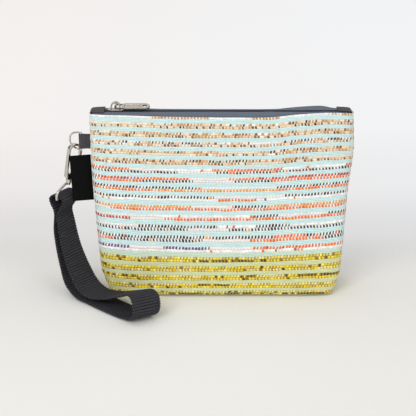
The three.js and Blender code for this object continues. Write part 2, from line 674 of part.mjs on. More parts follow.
const eyeBarZ = -RUNNING_GAP - KNUCKLE_HEIGHT - EYE_DROP;
function swivelEye() {
  const stemTop = HOOK_BASE + RUNNING_GAP;
  const profile = [
    [0, stemTop + SWIVEL_HEAD], [SWIVEL_HEAD_RADIUS, stemTop + SWIVEL_HEAD],
    [SWIVEL_HEAD_RADIUS, stemTop], [SWIVEL_STEM_RADIUS, stemTop],
    [SWIVEL_STEM_RADIUS, -RUNNING_GAP], [KNUCKLE_RADIUS, -RUNNING_GAP],
    [KNUCKLE_RADIUS, -RUNNING_GAP - KNUCKLE_HEIGHT / 2],
    [SWIVEL_HEAD_RADIUS, -RUNNING_GAP - KNUCKLE_HEIGHT], [0, -RUNNING_GAP - KNUCKLE_HEIGHT],
  ].reverse().map(([x, z]) => new THREE.Vector2(x, z));
  const spindle = new THREE.LatheGeometry(profile, ROUND_SIDES).rotateX(Math.PI / 2);
  const neckZ = -RUNNING_GAP - KNUCKLE_HEIGHT + EYE_WIRE / 2;
  const corner = STRAP_WIDTH / 2 + EYE_SIDE_GAP + EYE_WIRE / 2;
  const side = [
    [RUNNING_GAP, neckZ], [EYE_SHOULDER - EYE_WIRE, neckZ], [EYE_SHOULDER, neckZ - EYE_WIRE / 2],
    [corner, eyeBarZ + EYE_STRAIGHT], [corner, eyeBarZ + EYE_WIRE],
    [corner - EYE_WIRE / 3, eyeBarZ + EYE_WIRE / 3], [corner - EYE_WIRE, eyeBarZ],
  ];
  const mirrored = side.map(([x, z]) => [-x, z]).reverse();
  const loop = [...side, ...mirrored].map(([x, z]) => new THREE.Vector3(x, 0, z));
  return join(spindle, wireAlong(loop, EYE_WIRE, EYE_STEPS));
}
addTo(swivel, 'swivel_eye', swivelEye(), NICKEL);

// Strap: a flat band swept along its near edge, its width kept level
swivel.updateWorldMatrix(true, false);
const eyeBar = swivel.localToWorld(new THREE.Vector3(0, 0, eyeBarZ));

const widthAt = (turn) => new THREE.Vector3(Math.sin(rad(turn)), Math.cos(rad(turn)), 0);

function strapBand() {
  const routeTop = Math.max(...STRAP_ROUTE.map(([x, y, z]) => z));
  const loopTop = eyeBar.z + EYE_WIRE / 2 + STRAP_EYE_SLACK + STRAP_THICKNESS / 2;
  const points = STRAP_ROUTE.map(([x, y, z, turn]) => {
    const middle = new THREE.Vector3(eyeBar.x + x, eyeBar.y + y, (z * loopTop) / routeTop);
    return middle.addScaledVector(widthAt(turn), -STRAP_WIDTH / 2);
  });
  const edge = new THREE.CatmullRomCurve3(points, true, 'centripetal');
  const bearing = new THREE.CatmullRomCurve3(
    STRAP_ROUTE.map(([x, y, z, turn]) => new THREE.Vector3(turn, 0, 0)), true, 'catmullrom');
  const positions = [];
  const index = [];
  for (let i = 0; i < STRAP_STEPS; i += 1) {
    const t = i / STRAP_STEPS;
    const width = widthAt(bearing.getPoint(t).x);
    const face = edge.getTangent(t).cross(width).normalize().multiplyScalar(STRAP_THICKNESS / 2);
    const near = edge.getPoint(t);
    const far = near.clone().addScaledVector(width, STRAP_WIDTH);
    const corners = [near.clone().add(face), far.clone().add(face), far.sub(face), near.sub(face)];
    positions.push(...corners.flatMap((p) => [p.x, p.y, p.z]));
    const [a, b] = [4 * i, 4 * ((i + 1) % STRAP_STEPS)];
    for (let k = 0; k < 4; k += 1) {
      const n = (k + 1) % 4;
      index.push(a + k, b + k, b + n, a + k, b + n, a + n);
    }
  }
  const geometry = new THREE.BufferGeometry();
  geometry.setAttribute('position', new THREE.Float32BufferAttribute(positions, 3));
  geometry.setIndex(index);
  geometry.computeVertexNormals();
  return geometry;
}
add('wrist_strap', strapBand(), WEBBING);

export default group;
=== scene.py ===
# %% [markdown]
# # A zipped wristlet pouch
# A small pouch is sewn from handwoven striped cloth, closed by a grey coil zip, and carried by a
# webbing strap that clips to a ring on its side. The CAD frame holds every piece at its real size
# and place, so each soft or cast piece made here is fitted to the frame and takes its motion from it.

# %% Load the frame
import json
import math
from functools import partialmethod

import bpy
import numpy as np
from mathutils import Matrix, Vector


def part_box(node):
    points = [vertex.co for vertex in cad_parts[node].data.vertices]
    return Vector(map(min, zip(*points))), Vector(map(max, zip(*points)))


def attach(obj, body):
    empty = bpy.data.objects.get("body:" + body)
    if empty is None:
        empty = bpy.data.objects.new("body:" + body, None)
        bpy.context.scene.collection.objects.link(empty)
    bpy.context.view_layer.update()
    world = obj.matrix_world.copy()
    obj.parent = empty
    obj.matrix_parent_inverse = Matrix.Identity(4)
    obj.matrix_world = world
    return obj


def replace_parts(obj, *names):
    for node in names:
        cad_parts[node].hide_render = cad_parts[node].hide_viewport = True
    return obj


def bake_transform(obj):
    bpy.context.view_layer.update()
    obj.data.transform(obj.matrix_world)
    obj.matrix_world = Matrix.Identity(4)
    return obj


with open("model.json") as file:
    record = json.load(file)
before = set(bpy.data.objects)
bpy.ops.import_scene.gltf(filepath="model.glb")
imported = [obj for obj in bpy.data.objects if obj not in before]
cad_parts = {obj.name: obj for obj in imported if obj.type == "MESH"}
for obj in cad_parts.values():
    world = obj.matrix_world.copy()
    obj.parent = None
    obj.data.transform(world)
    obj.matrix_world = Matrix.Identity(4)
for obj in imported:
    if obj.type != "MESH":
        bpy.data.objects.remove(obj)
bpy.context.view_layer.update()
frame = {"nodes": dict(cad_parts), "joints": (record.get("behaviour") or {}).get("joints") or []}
joints = {joint["name"]: joint for joint in frame["joints"]}
MM = 0.001
print("CAD nodes:", len(frame["nodes"]), "joints:", len(joints))

# %% [markdown]
# ## Camera
# The photograph looks down on the pouch a little, from far enough that its sides stay nearly
# parallel. The focal length is written in pixels of the photograph's square frame and turned into
# a lens, so that the render and the photograph share one frame.

# %% Place the camera
PHOTO_SIDE = 416
FOCAL_PIXELS = 1100
CAMERA_PITCH = math.radians(20.5)
CAMERA_DISTANCE = 0.960
LOOK_AT = Vector((-0.011, 0, 0.0745))

scene = bpy.context.scene
camera_data = bpy.data.cameras.new("camera")
camera_data.lens = camera_data.sensor_width * FOCAL_PIXELS / PHOTO_SIDE
camera = bpy.data.objects.new("camera", camera_data)
scene.collection.objects.link(camera)
backwards = Vector((0, -math.cos(CAMERA_PITCH), math.sin(CAMERA_PITCH)))
camera.location = LOOK_AT + backwards * CAMERA_DISTANCE
camera.rotation_euler = (math.pi / 2 - CAMERA_PITCH, 0, 0)
scene.camera = camera
scene.view_settings.view_transform = "Standard"
print("lens", round(camera_data.lens, 1), "mm")

# %% [markdown]
# ## Small tools for modelling
# An operator acts on everything that is selected, so each step first selects one piece alone. A
# modifier is set up and applied at once, which leaves plain meshes for the frame to carry.


# %% Select, edit and apply
def select_only(piece):
    bpy.ops.object.select_all(action="DESELECT")
    piece.select_set(True)
    bpy.context.view_layer.objects.active = piece


def edit(piece, operator, whole=True, **settings):
    """Runs an operator in edit mode, on the whole mesh or on what is selected in it."""
    select_only(piece)
    bpy.ops.object.mode_set(mode="EDIT")
    if whole:
        bpy.ops.mesh.select_all(action="SELECT")
    operator(**settings)
    bpy.ops.object.mode_set(mode="OBJECT")


def select_edges(piece, wanted):
    """Selects the edges whose two ends both pass the test, ready for edit mode."""
    mesh = piece.data
    bpy.context.tool_settings.mesh_select_mode = (False, True, False)
    for parts in (mesh.vertices, mesh.edges, mesh.polygons):
        parts.foreach_set("select", [False] * len(parts))
    for edge in mesh.edges:
        edge.select = all(wanted(mesh.vertices[end].co) for end in edge.vertices)


def apply_modifier(piece, kind, **settings):
    select_only(piece)
    modifier = piece.modifiers.new(kind.title(), kind)
    for name, value in settings.items():
        setattr(modifier, name, value)
    bpy.ops.object.modifier_apply(modifier=modifier.name)


# %% [markdown]
# ## Studio
# A plain floor would end in a line behind the pouch, so the floor's far edge is drawn up into a
# wall and the corner is rounded, as a paper sweep does. A low ring closes the view on the other
# sides.

# %% Sweep the backdrop
SWEEP_SIZE = 7
SWEEP_WALL = 4
SWEEP_ROUND = 1.2
SWEEP_EDGE = SWEEP_SIZE * 0.49
bpy.ops.object.select_all(action="DESELECT")
bpy.ops.mesh.primitive_plane_add(size=SWEEP_SIZE)
backdrop = bpy.context.object
backdrop.name = "backdrop"
select_edges(backdrop, lambda co: co.y > SWEEP_EDGE)
edit(backdrop, bpy.ops.mesh.extrude_region_move, False, TRANSFORM_OT_translate={"value": (0, 0, SWEEP_WALL)})
select_edges(backdrop, lambda co: co.y > SWEEP_EDGE and co.z < MM)
edit(backdrop, bpy.ops.mesh.bevel, False, offset=SWEEP_ROUND, segments=16)
bpy.ops.object.shade_smooth()
print("backdrop faces", len(backdrop.data.polygons))

# %% Close the studio with a low ring
RING_SHAPE = {"vertices": 96, "radius": 3.4, "depth": 0.95, "end_fill_type": "NOTHING"}
bpy.ops.object.select_all(action="DESELECT")
bpy.ops.mesh.primitive_cylinder_add(location=(0, 0, RING_SHAPE["depth"] / 2), **RING_SHAPE)
surround = bpy.context.object
surround.name = "surround"
bpy.ops.object.transform_apply(location=True)
bpy.ops.object.shade_smooth()
print("ring", RING_SHAPE["radius"], "m round the pouch")

# %% [markdown]
# ## Lamps
# A bright room does most of the lighting. One large soft lamp from the upper left gives the faint
# shadow to the right and under the base, a weaker one opens the right side, and a small one behind
# the pouch puts a glint on the zip's metal.

# %% Hang the lamps
LAMPS = {
    "key_lamp": ((-0.8, -1.6, 1.25), 1.3, 19.2),
    "fill_lamp": ((1.3, -1.4, 0.8), 1.0, 5),
    "gloss_lamp": ((-0.08, 1.0, 1.35), 0.5, 0.3),
}
for name, (spot, size, power) in LAMPS.items():
    lamp_data = bpy.data.lights.new(name, "AREA")
    lamp_data.shape = "DISK"
    lamp_data.size = size
    lamp_data.energy = power
    lamp = bpy.data.objects.new(name, lamp_data)
    lamp.location = spot
    lamp.rotation_euler = (LOOK_AT - Vector(spot)).to_track_quat("-Z", "Y").to_euler()
    scene.collection.objects.link(lamp)
print("lamps", *LAMPS)

# %% [markdown]
# ## Shader tools
# Materials are node trees. A value that knows its own tree lets a material be written as sums, so
# that each one below reads as a recipe. Colours are written as they look on screen, from 0 to 255,
# and are turned into the linear values that a shader works in.


# %% Place and feed nodes
def linear(*screen):
    """Undoes the standard screen curve."""
    shares = [value / 255 for value in screen]
    return (*[s / 12.92 if s <= 0.04045 else ((s + 0.055) / 1.055) ** 2.4 for s in shares], 1)


def feed(socket, value):
    value = getattr(value, "socket", value)
    if isinstance(value, bpy.types.NodeSocket):
        socket.id_data.links.new(value, socket)
    else:
        socket.default_value = value


def place(tree, kind, inputs=None, **settings):
    made = tree.nodes.new(kind)
    for name, value in settings.items():
        setattr(made, name, value)
    for key, value in (inputs or {}).items():
        feed(made.inputs[key], value)
    return made


# %% Write sums as sums
class Value:
    """A number on its way through a node tree."""

    def __init__(self, socket):
        self.socket = socket
        self.tree = socket.id_data

    def calc(self, operation, *others):
        inputs = dict(enumerate((self, *others)))
        return Value(place(self.tree, "ShaderNodeMath", inputs, operation=operation).outputs[0])

    __add__ = partialmethod(calc, "ADD")
    __sub__ = partialmethod(calc, "SUBTRACT")
    __mul__ = partialmethod(calc, "MULTIPLY")
    __truediv__ = partialmethod(calc, "DIVIDE")
    __pow__ = partialmethod(calc, "POWER")
    __abs__ = partialmethod(calc, "ABSOLUTE")
    # The number times a first value, plus a second.
    scaled = partialmethod(calc, "MULTIPLY_ADD")
    above = partialmethod(calc, "GREATER_THAN")
    below = partialmethod(calc, "LESS_THAN")
    most = partialmethod(calc, "MAXIMUM")
    least = partialmethod(calc, "MINIMUM")
    floor = partialmethod(calc, "FLOOR")
    fract = partialmethod(calc, "FRACT")
    sine = partialmethod(calc, "SINE")

    def ease(self, low, high, start=0.0, end=1.0):
        """Goes smoothly from start to end while the number goes from low to high."""
        inputs = dict(enumerate((self, low, high, start, end)))
        made = place(self.tree, "ShaderNodeMapRange", inputs, interpolation_type="SMOOTHSTEP")
        return Value(made.outputs[0])

    def between(self, first, second):
        """Goes from one number to another."""
        return Value(place(self.tree, "ShaderNodeMix", {0: self, 2: first, 3: second}).outputs[0])

    def mix(self, first, second):
        """Goes from one colour to another."""
        inputs = {0: self, 6: first, 7: second}
        return place(self.tree, "ShaderNodeMix", inputs, data_type="RGBA").outputs[2]

    def tint(self, colour):
        """Darkens a colour."""
        grey = place(self.tree, "ShaderNodeCombineColor", {0: self, 1: self, 2: self})
        return multiply(colour, grey.outputs[0])


def multiply(first, second):
    """Two colours, as seen through each other."""
    inputs = {0: 1.0, 6: first, 7: second}
    made = place(second.id_data, "ShaderNodeMix", inputs, data_type="RGBA", blend_type="MULTIPLY")
    return made.outputs[2]


def split(vector):
    parts = place(vector.id_data, "ShaderNodeSeparateXYZ", {"Vector": vector}).outputs
    return [Value(part) for part in parts]


def chance(*parts):
    """A random number from 0 to 1 that is the same wherever the parts are the same."""
    tree = parts[0].tree
    where = place(tree, "ShaderNodeCombineXYZ", dict(enumerate(parts))).outputs[0]
    return Value(place(tree, "ShaderNodeTexWhiteNoise", {"Vector": where}).outputs["Value"])


# %% Start a material
def new_material(name, roughness, metallic=0.0, sheen=0.0, specular=0.5):
    material = bpy.data.materials.new(name)
    material.use_nodes = True
    shader = material.node_tree.nodes["Principled BSDF"]
    feed(shader.inputs["Roughness"], roughness)
    feed(shader.inputs["Metallic"], metallic)
    feed(shader.inputs["Sheen Weight"], sheen)
    feed(shader.inputs["Specular IOR Level"], specular)
    return material, material.node_tree, shader


def cover(shader, colour, height, relief):
    """Gives a shader its colour and raises its surface."""
    bump = place(shader.id_data, "ShaderNodeBump", {"Height": height, "Distance": relief})
    feed(shader.inputs["Base Color"], colour)
    feed(shader.inputs["Normal"], bump.outputs["Normal"])


def object_place(tree):
    return place(tree, "ShaderNodeTexCoord").outputs["Object"]


def cloth_place(tree):
    return place(tree, "ShaderNodeUVMap", uv_map="UVMap").outputs["UV"]


# %% [markdown]
# ## Shared surface effects
# Two effects serve many materials, so each is a node group that is built once. Fuzz is the soft
# unevenness of spun fibre. Crossed threads is a plain weave: warp and weft pass over and under
# each other, each with its own spacing.

# %% Build the groups
# How far a thread rises and falls as it passes over and under, and about which level.
OVER_UNDER = (0.45, 0.55)
NEXT_THREAD_SHIFT = 0.5


def new_group(name, inputs, outputs):
    group = bpy.data.node_groups.new(name, "ShaderNodeTree")
    for label in inputs:
        kind = "NodeSocketVector" if label == "Vector" else "NodeSocketFloat"
        group.interface.new_socket(label, in_out="INPUT", socket_type=kind)
    for label in outputs:
        group.interface.new_socket(label, in_out="OUTPUT", socket_type="NodeSocketFloat")
    given = group.nodes.new("NodeGroupInput").outputs
    return group, given, group.nodes.new("NodeGroupOutput").inputs


def build_fuzz():
    group, given, result = new_group("fibre_fuzz", ["Vector", "Scale", "Amount"], ["Shade", "Height"])
    inputs = {"Vector": given["Vector"], "Scale": given["Scale"], "Detail": 4.0, "Roughness": 0.7}
    noise = Value(place(group, "ShaderNodeTexNoise", inputs).outputs[0])
    feed(result["Shade"], (noise - 0.5).scaled(given["Amount"], 1.0))
    feed(result["Height"], noise)
    return group


def build_crossed_threads():
    group, given, result = new_group("crossed_threads", ["Vector", "Warp", "Weft"], ["Height"])
    parts = split(given["Vector"])
    along = parts[1] / given["Weft"]
    shifted = parts[0] / given["Warp"] + along.floor() * NEXT_THREAD_SHIFT
    over = (shifted * (2 * math.pi)).sine()
    ridge = (along.fract() * math.pi).sine()
    feed(result["Height"], ridge * over.scaled(*OVER_UNDER))
    return group


fuzz_group = build_fuzz()
threads_group = build_crossed_threads()


def use_group(tree, group, **inputs):
    made = place(tree, "ShaderNodeGroup", inputs, node_tree=group)
    return {socket.name: Value(socket) for socket in made.outputs}


def fuzz(tree, scale, amount):
    return use_group(tree, fuzz_group, Vector=object_place(tree), Scale=scale, Amount=amount)


print("groups", fuzz_group.name, threads_group.name)

# %% [markdown]
# ## Striped cloth
# The cloth is woven from two things. Rows of thin twisted foil, two picks deep, show their colours
# as short beads where the warp ties them down. Bands of soft pale yarn, three picks deep, part
# them. The rows change from tan at the rim through orange and black to gold at the base. The
# cloth's own map runs in metres along a row and counts rows down from the rim, so a row is a whole
# number there and the beads can be drawn with sums, where a picture would have to be painted.

# %% Name the yarns and the rows
SHADES = {
    "ink": linear(38, 40, 40),
    "umber": linear(66, 46, 26),
    "brown": linear(150, 92, 42),
    "tan": linear(212, 158, 104),
    "peach": linear(240, 204, 164),
    "cream": linear(246, 234, 214),
    "white": linear(250, 249, 247),
    "orange": linear(246, 122, 44),
    "amber": linear(236, 166, 78),
    "red": linear(198, 66, 50),
    "plum": linear(110, 80, 136),
    "gold": linear(246, 214, 40),
    # A paler yellow, used as painted glints on the gold foil.
    "lemon": linear(252, 234, 84),
    "olive": linear(142, 116, 22),
    "straw": linear(238, 222, 150),
    "moss": linear(176, 146, 40),
    "aqua": linear(217, 248, 248),
    "mint": linear(216, 240, 218),
    "lime": linear(224, 233, 184),
}
# From the rim down: the upper and the lower pick, then what each turns to in some stretches.
FOIL_ROWS = [row.split() for row in (
    "ink white white tan", "white tan tan ink", "tan tan white brown", "ink tan white tan",
    "tan tan brown white", "tan tan ink brown", "orange ink white ink", "orange ink red orange",
    "ink orange ink amber", "ink white orange orange", "amber orange ink orange",
    "ink orange white red", "ink ink white ink", "ink orange orange ink", "orange white plum ink",
    "straw gold straw umber", "gold straw umber straw", "straw gold umber gold",
    "straw gold umber lemon", "straw gold straw umber", "gold straw straw gold",
    "gold straw straw gold",
)]
YARN_ROWS = ["aqua"] * 14 + ["mint"] + ["lime"] * 7
GROUND_ROWS = ["white"] + ["cream"] * 2 + ["white"] + ["cream"] * 2 + ["white"] * 9 + ["moss"] * 7
# Twisted foil turns up a few shades of its own. Each word stands for one bead in ten.
TAN_BEADS = "umber brown tan tan peach peach cream peach tan brown".split()
BRIGHT_BEADS = "orange orange red amber orange brown orange orange red amber".split()
# Among the gold beads, the lemon ones are painted glints.
GOLD_BEADS = "gold gold lemon straw gold olive lemon gold lemon umber".split()
FIRST_TAN_ROW = 1
FIRST_BRIGHT_ROW = 6
FIRST_GOLD_ROW = 15
# Which rows each mix of beads runs through, and the share of their beads that it takes.
BEAD_MIXES = [
    (FIRST_TAN_ROW, FIRST_BRIGHT_ROW, TAN_BEADS, 0.75),
    (FIRST_BRIGHT_ROW, FIRST_GOLD_ROW, BRIGHT_BEADS, 0.05),
    (FIRST_GOLD_ROW, len(FOIL_ROWS), GOLD_BEADS, 0.4),
]
print("rows", len(FOIL_ROWS), "shades", len(SHADES))


# %% Colour the rows
def row_colours(share, names):
    """One flat colour for each row, from the rim down."""
    made = place(share.tree, "ShaderNodeValToRGB", {"Fac": share})
    ramp = made.color_ramp
    ramp.interpolation = "CONSTANT"
    ramp.elements.remove(ramp.elements[1])
    ramp.elements[0].color = SHADES[names[0]]
    for number in range(1, len(names)):
        if names[number] != names[number - 1]:
            ramp.elements.new(number / len(names)).color = SHADES[names[number]]
    return made.outputs["Color"]


def pick_colour(share, pick, *columns):
    return pick.mix(*[row_colours(share, [names[column] for names in FOIL_ROWS]) for column in columns])


def noise_along(along, scale, start):
    inputs = {"W": along.scaled(scale, start), "Scale": 1.0}
    return Value(place(along.tree, "ShaderNodeTexNoise", inputs, noise_dimensions="1D").outputs[0])


# %% Draw the foil's beads
FOIL_SHARE = 0.57
BEAD_PITCH = 0.0028
BEAD_LEAN = 0.18
BEAD_POWER = 2.6
BEAD_HALF_HEIGHT = 0.56
DARK_WIDTH = 0.72
STRETCH_LENGTH = 0.034
TURNED_STRETCHES = 0.3
BARE_STRETCHES = 0.2
BARE_COVER = 0.16
ROW_SHIFT = 0.37
PICK_SHIFT = 0.5
STRETCH_SHIFT = 1.7
WANDER_SCALE = 25.0
WANDER_REACH = 2.0
SWELL_SCALE = 95.0
SWELL_ROW_STEP = 7.3
SWELL_PICK_STEP = 3.1
LUCK_WIDTH = 0.1
BEAD_SHADES = (0.36, 0.82)
# Each is a range that is read, then the two values that it is turned into.
SWELL_TO_HALF_WIDTH = (0.32, 0.66, 0.24, 0.48)
PALE_TO_WIDTH = (0.02, 0.12, DARK_WIDTH, 1.0)
REACH_TO_BEAD = (0.4, 1.1, 1.0, 0.0)
REACH_TO_HEIGHT = (0.0, 1.6, 1.0, 0.0)
RISE_TO_GROOVE_SHADE = (0.3, 0.5, 1.0, 0.78)


def foil_beads(along, row, share, pick, within):
    """The colour of the foil picks and the height of their beads."""
    shift = row.scaled(ROW_SHIFT, pick * PICK_SHIFT)
    count = along / BEAD_PITCH + (pick.scaled(-2 * BEAD_LEAN, BEAD_LEAN) * within + shift)
    cell = count.floor()
    luck = chance(cell, row, pick)
    where = shift.scaled(STRETCH_SHIFT, along / STRETCH_LENGTH)
    stretch = noise_along(along, WANDER_SCALE, 0.0).scaled(WANDER_REACH, where).floor()
    mood = chance(stretch, row, pick)
    usual = pick_colour(share, pick, 0, 1)
    other = pick_colour(share, pick, 2, 3)
    colour = mood.below(TURNED_STRETCHES).mix(usual, other)
    for first, last, beads, amount in BEAD_MIXES:
        inside = row.above(first - 0.5) * row.below(last - 0.5)
        own = chance(cell, pick, row).below(amount)
        colour = (inside * own).mix(colour, row_colours(luck, beads))
    pale = Value(place(row.tree, "ShaderNodeRGBToBW", {0: colour}).outputs[0])
    colour = chance(pick, row, cell).scaled(*BEAD_SHADES).tint(colour)
    lane = row.scaled(SWELL_ROW_STEP, pick * SWELL_PICK_STEP)
    swell = noise_along(along, SWELL_SCALE, lane).ease(*SWELL_TO_HALF_WIDTH)
    half_width = luck.scaled(LUCK_WIDTH, swell) * pale.ease(*PALE_TO_WIDTH)
    off = (abs(count.fract() - 0.5) / half_width) ** BEAD_POWER
    rise = abs(within - 0.5)
    reach = off + (rise / BEAD_HALF_HEIGHT) ** BEAD_POWER
    bare = mood.above(1 - BARE_STRETCHES) * row.below(FIRST_GOLD_ROW - 0.5)
    bead = reach.ease(*REACH_TO_BEAD) * bare.ease(0.0, 1.0, 1.0, BARE_COVER)
    # Painted shade: the ground darkens towards the edges of each pick, in the grooves where the picks meet.
    ground = rise.ease(*RISE_TO_GROOVE_SHADE).tint(row_colours(share, GROUND_ROWS))
    return bead.mix(ground, colour), reach.ease(*REACH_TO_HEIGHT)


# %% Twist the yarn and mix the cloth
YARN_PICKS = 3
YARN_TWIST = 0.0024
YARN_EDGE = (0.24, 0.5)
YARN_FUZZ = (420.0, 0.34)
GROOVE_SHADE = (0.16, 0.62)
TWIST_HEIGHT = (0.2, 0.4)
ROW_DRIFT = 0.22
DRIFT_SCALES = (70.0, 0.9, 1.0)
FOIL_ROUGHNESS = 0.34
YARN_ROUGHNESS = 0.85
CLOTH_RELIEF = 0.0003


def yarn_band(along, share, part):
    """The colour of the yarn picks and the height of their twist."""
    lanes = (part - FOIL_SHARE) * (YARN_PICKS / (1 - FOIL_SHARE))
    edge = abs(lanes.fract() - 0.5).ease(*YARN_EDGE)
    twist = along.scaled(2 * math.pi / YARN_TWIST, lanes.floor() * math.pi).sine()
    # Painted shade: each yarn pick darkens towards its edges, in the grooves between picks, dotted by the
    # twist.
    shade = edge.between(1.0, twist.scaled(*GROOVE_SHADE)) * fuzz(share.tree, *YARN_FUZZ)["Shade"]
    return shade.tint(row_colours(share, YARN_ROWS)), twist.scaled(*TWIST_HEIGHT)


def make_striped_cloth():
    material, tree, shader = new_material("striped_cloth", 0.7, sheen=0.1)
    along, counted = split(cloth_place(tree))[:2]
    inputs = {0: cloth_place(tree), 1: DRIFT_SCALES}
    stretched = place(tree, "ShaderNodeVectorMath", inputs, operation="MULTIPLY").outputs[0]
    inputs = {"Vector": stretched, "Scale": 1.0}
    drift = Value(place(tree, "ShaderNodeTexNoise", inputs, noise_dimensions="2D").outputs[0])
    down = (drift - 0.5).scaled(ROW_DRIFT, counted)
    row = down.floor()
    part = down.fract()
    share = (row + 0.5) / float(len(FOIL_ROWS))
    is_yarn = part.above(FOIL_SHARE)
    halves = part * (2 / FOIL_SHARE)
    pick = halves.floor().least(1.0)
    foil, bead_height = foil_beads(along, row, share, pick, halves.fract())
    yarn, twist_height = yarn_band(along, share, part)
    feed(shader.inputs["Roughness"], is_yarn.ease(0.0, 1.0, FOIL_ROUGHNESS, YARN_ROUGHNESS))
    cover(shader, is_yarn.mix(foil, yarn), is_yarn.between(bead_height, twist_height), CLOTH_RELIEF)
    return material


striped_cloth = make_striped_cloth()
print("striped cloth nodes", len(striped_cloth.node_tree.nodes))

# %% [markdown]
# ## Plain cloths
# The zip tape, end tabs, ring ribbon, webbing, label and lining are all narrow or plain weaves.
# One recipe serves them: a colour, the spacing of its threads, how deep they stand, and painted
# shade in the low parts of the weave with painted highlight on the crests. The zip tape is painted
# dark along its inner edge where the coil is sewn to it, a painted shade for the shadowed gap at
# the coil, and the label's threads are finer.

# %% Mix the plain cloths
BORDER_BLUR = 0.0006
BORDER_SHADE = 0.2
CLOTH_FUZZ = (650.0, 0.5)
FUZZ_HEIGHT = 0.4
THREAD_SHADE_SWING = 1.3


def make_cloth(name, colour, warp, weft, depth, roughness, thread_shade, sheen=0.25, border=None):
    material, tree, shader = new_material(name, roughness, sheen=sheen, specular=0.2)
    threads = use_group(tree, threads_group, Vector=cloth_place(tree), Warp=warp, Weft=weft)["Height"]
    soft = fuzz(tree, *CLOTH_FUZZ)
    # Painted shade and highlight: the colour darkens in the low parts of the weave and lightens on the thread
    # crests.
    shade = threads.scaled(THREAD_SHADE_SWING * thread_shade, 1.0 - thread_shade) * soft["Shade"]
    if border:
        # Painted shade: near its middle the tape turns dark, standing for the shadowed gap at the coil.
        off_middle = abs(split(cloth_place(tree))[1])
        shade = shade * off_middle.ease(border, border + BORDER_BLUR, BORDER_SHADE, 1.0)
    cover(shader, shade.tint(linear(*colour)), soft["Height"].scaled(FUZZ_HEIGHT, threads), depth)
    return material


# Each has a colour, the spacing of warp and weft, a depth, a roughness, and how strongly the weave is painted
# with shade and highlight.
tape_cloth = make_cloth(
    "tape_cloth", (116, 127, 143), 0.0012, 0.0006, 0.0002, 0.85, 0.3, sheen=0.08, border=0.0022
)
tab_cloth = make_cloth("tab_cloth", (84, 82, 88), 0.0010, 0.0009, 0.0002, 0.9, 0.4, sheen=0.1)
webbing_cloth = make_cloth("webbing_cloth", (80, 79, 88), 0.0012, 0.0023, 0.0009, 0.9, 0.9, sheen=0.06)
label_cloth = make_cloth("label_cloth", (4, 4, 5), 0.0007, 0.0003, 0.00006, 0.9, 0.25, sheen=0.0)
lining_cloth = make_cloth("lining_cloth", (84, 84, 88), 0.0006, 0.0006, 0.0001, 0.9, 0.3)
for cloth in (tape_cloth, tab_cloth, webbing_cloth, label_cloth, lining_cloth):
    print(cloth.name, len(cloth.node_tree.nodes), "nodes")

# %% [markdown]
# ## Metal, nylon and thread
# The clasp, ring and slider are nickel-plated castings: bright, slightly warm, with fine rubbing
# marks that change the gloss, and a dark brown painted shade in the hollows. The zip's own plating
# is a shade darker. The spring and pin are plain steel, the zip's coil is a dark nylon wire, and
# the sewing thread is spun polyester.

# %% Mix the hard finishes
HOLLOW_PAINTED_SHADE = linear(92, 72, 54)
HOLLOW_TO_PAINTED_SHADE = (0.42, 0.5, 0.85, 0.0)
METAL_MARKS = (160.0, 0.25)
METAL_RUBS = (1400.0, 0.1)
MARKS_TO_GLOSS = (0.3, 0.7)
METAL_RELIEF = 0.00003
NYLON_FUZZ = (900.0, 0.4)
NYLON_RELIEF = 0.00004


def make_metal(name, colour, low, high):
    material, tree, shader = new_material(name, low, metallic=1.0)
    marks = fuzz(tree, *METAL_MARKS)
    rubs = fuzz(tree, *METAL_RUBS)
    bright = (marks["Shade"] * rubs["Shade"]).tint(linear(*colour))
    # Painted shade: the colour turns dark brown in the hollows, where less light reaches.
    hollow = Value(place(tree, "ShaderNodeNewGeometry").outputs["Pointiness"])
    feed(shader.inputs["Roughness"], marks["Height"].ease(*MARKS_TO_GLOSS, low, high))
    cover(shader, hollow.ease(*HOLLOW_TO_PAINTED_SHADE).mix(bright, HOLLOW_PAINTED_SHADE), rubs["Height"], METAL_RELIEF)
    return material


def make_nylon(name, colour, roughness):
    material, tree, shader = new_material(name, roughness)
    soft = fuzz(tree, *NYLON_FUZZ)
    cover(shader, soft["Shade"].tint(linear(*colour)), soft["Height"], NYLON_RELIEF)
    return material


nickel = make_metal("nickel_plate", (206, 200, 191), 0.08, 0.18)
zip_nickel = make_metal("zip_nickel", (162, 156, 146), 0.08, 0.18)
steel = make_metal("plain_steel", (160, 160, 162), 0.25, 0.42)
coil_nylon = make_nylon("coil_nylon", (46, 49, 55), 0.4)
grey_thread = make_nylon("grey_thread", (92, 96, 104), 0.7)
dark_thread = make_nylon("dark_thread", (48, 47, 52), 0.7)
for finish in (nickel, zip_nickel, steel, coil_nylon, grey_thread, dark_thread):
    print(finish.name, len(finish.node_tree.nodes), "nodes")

# %% [markdown]
# ## Backdrop and room
# The floor near the pouch is lit as it stands, so it keeps the shadow. Further back the sweep would
# grow dark, so there it shows a pale tone to the camera and to mirrors, which adds no light. That
# tone carries painted shade at the foot of the wall and is tinted by painted light, warm on the
# left and cool on the right.
# The room is bright overhead and dim near the floor, so that metal has something to show.

# %% Paint the studio
FLOOR_TONE = (243, 242, 238)
FLOOR_FUZZ = (2.0, 0.02)
# How pale the sweep looks, from just behind the pouch to the far wall, by metres behind it. The darker stops
# near the foot of the wall are painted shade.
SWEEP_TONES_WITH_SHADE = [(0.0, 234), (0.06, 218), (0.135, 225), (0.29, 238), (0.54, 245), (1.4, 245)]
FAR_TONE = (243, 243, 243)
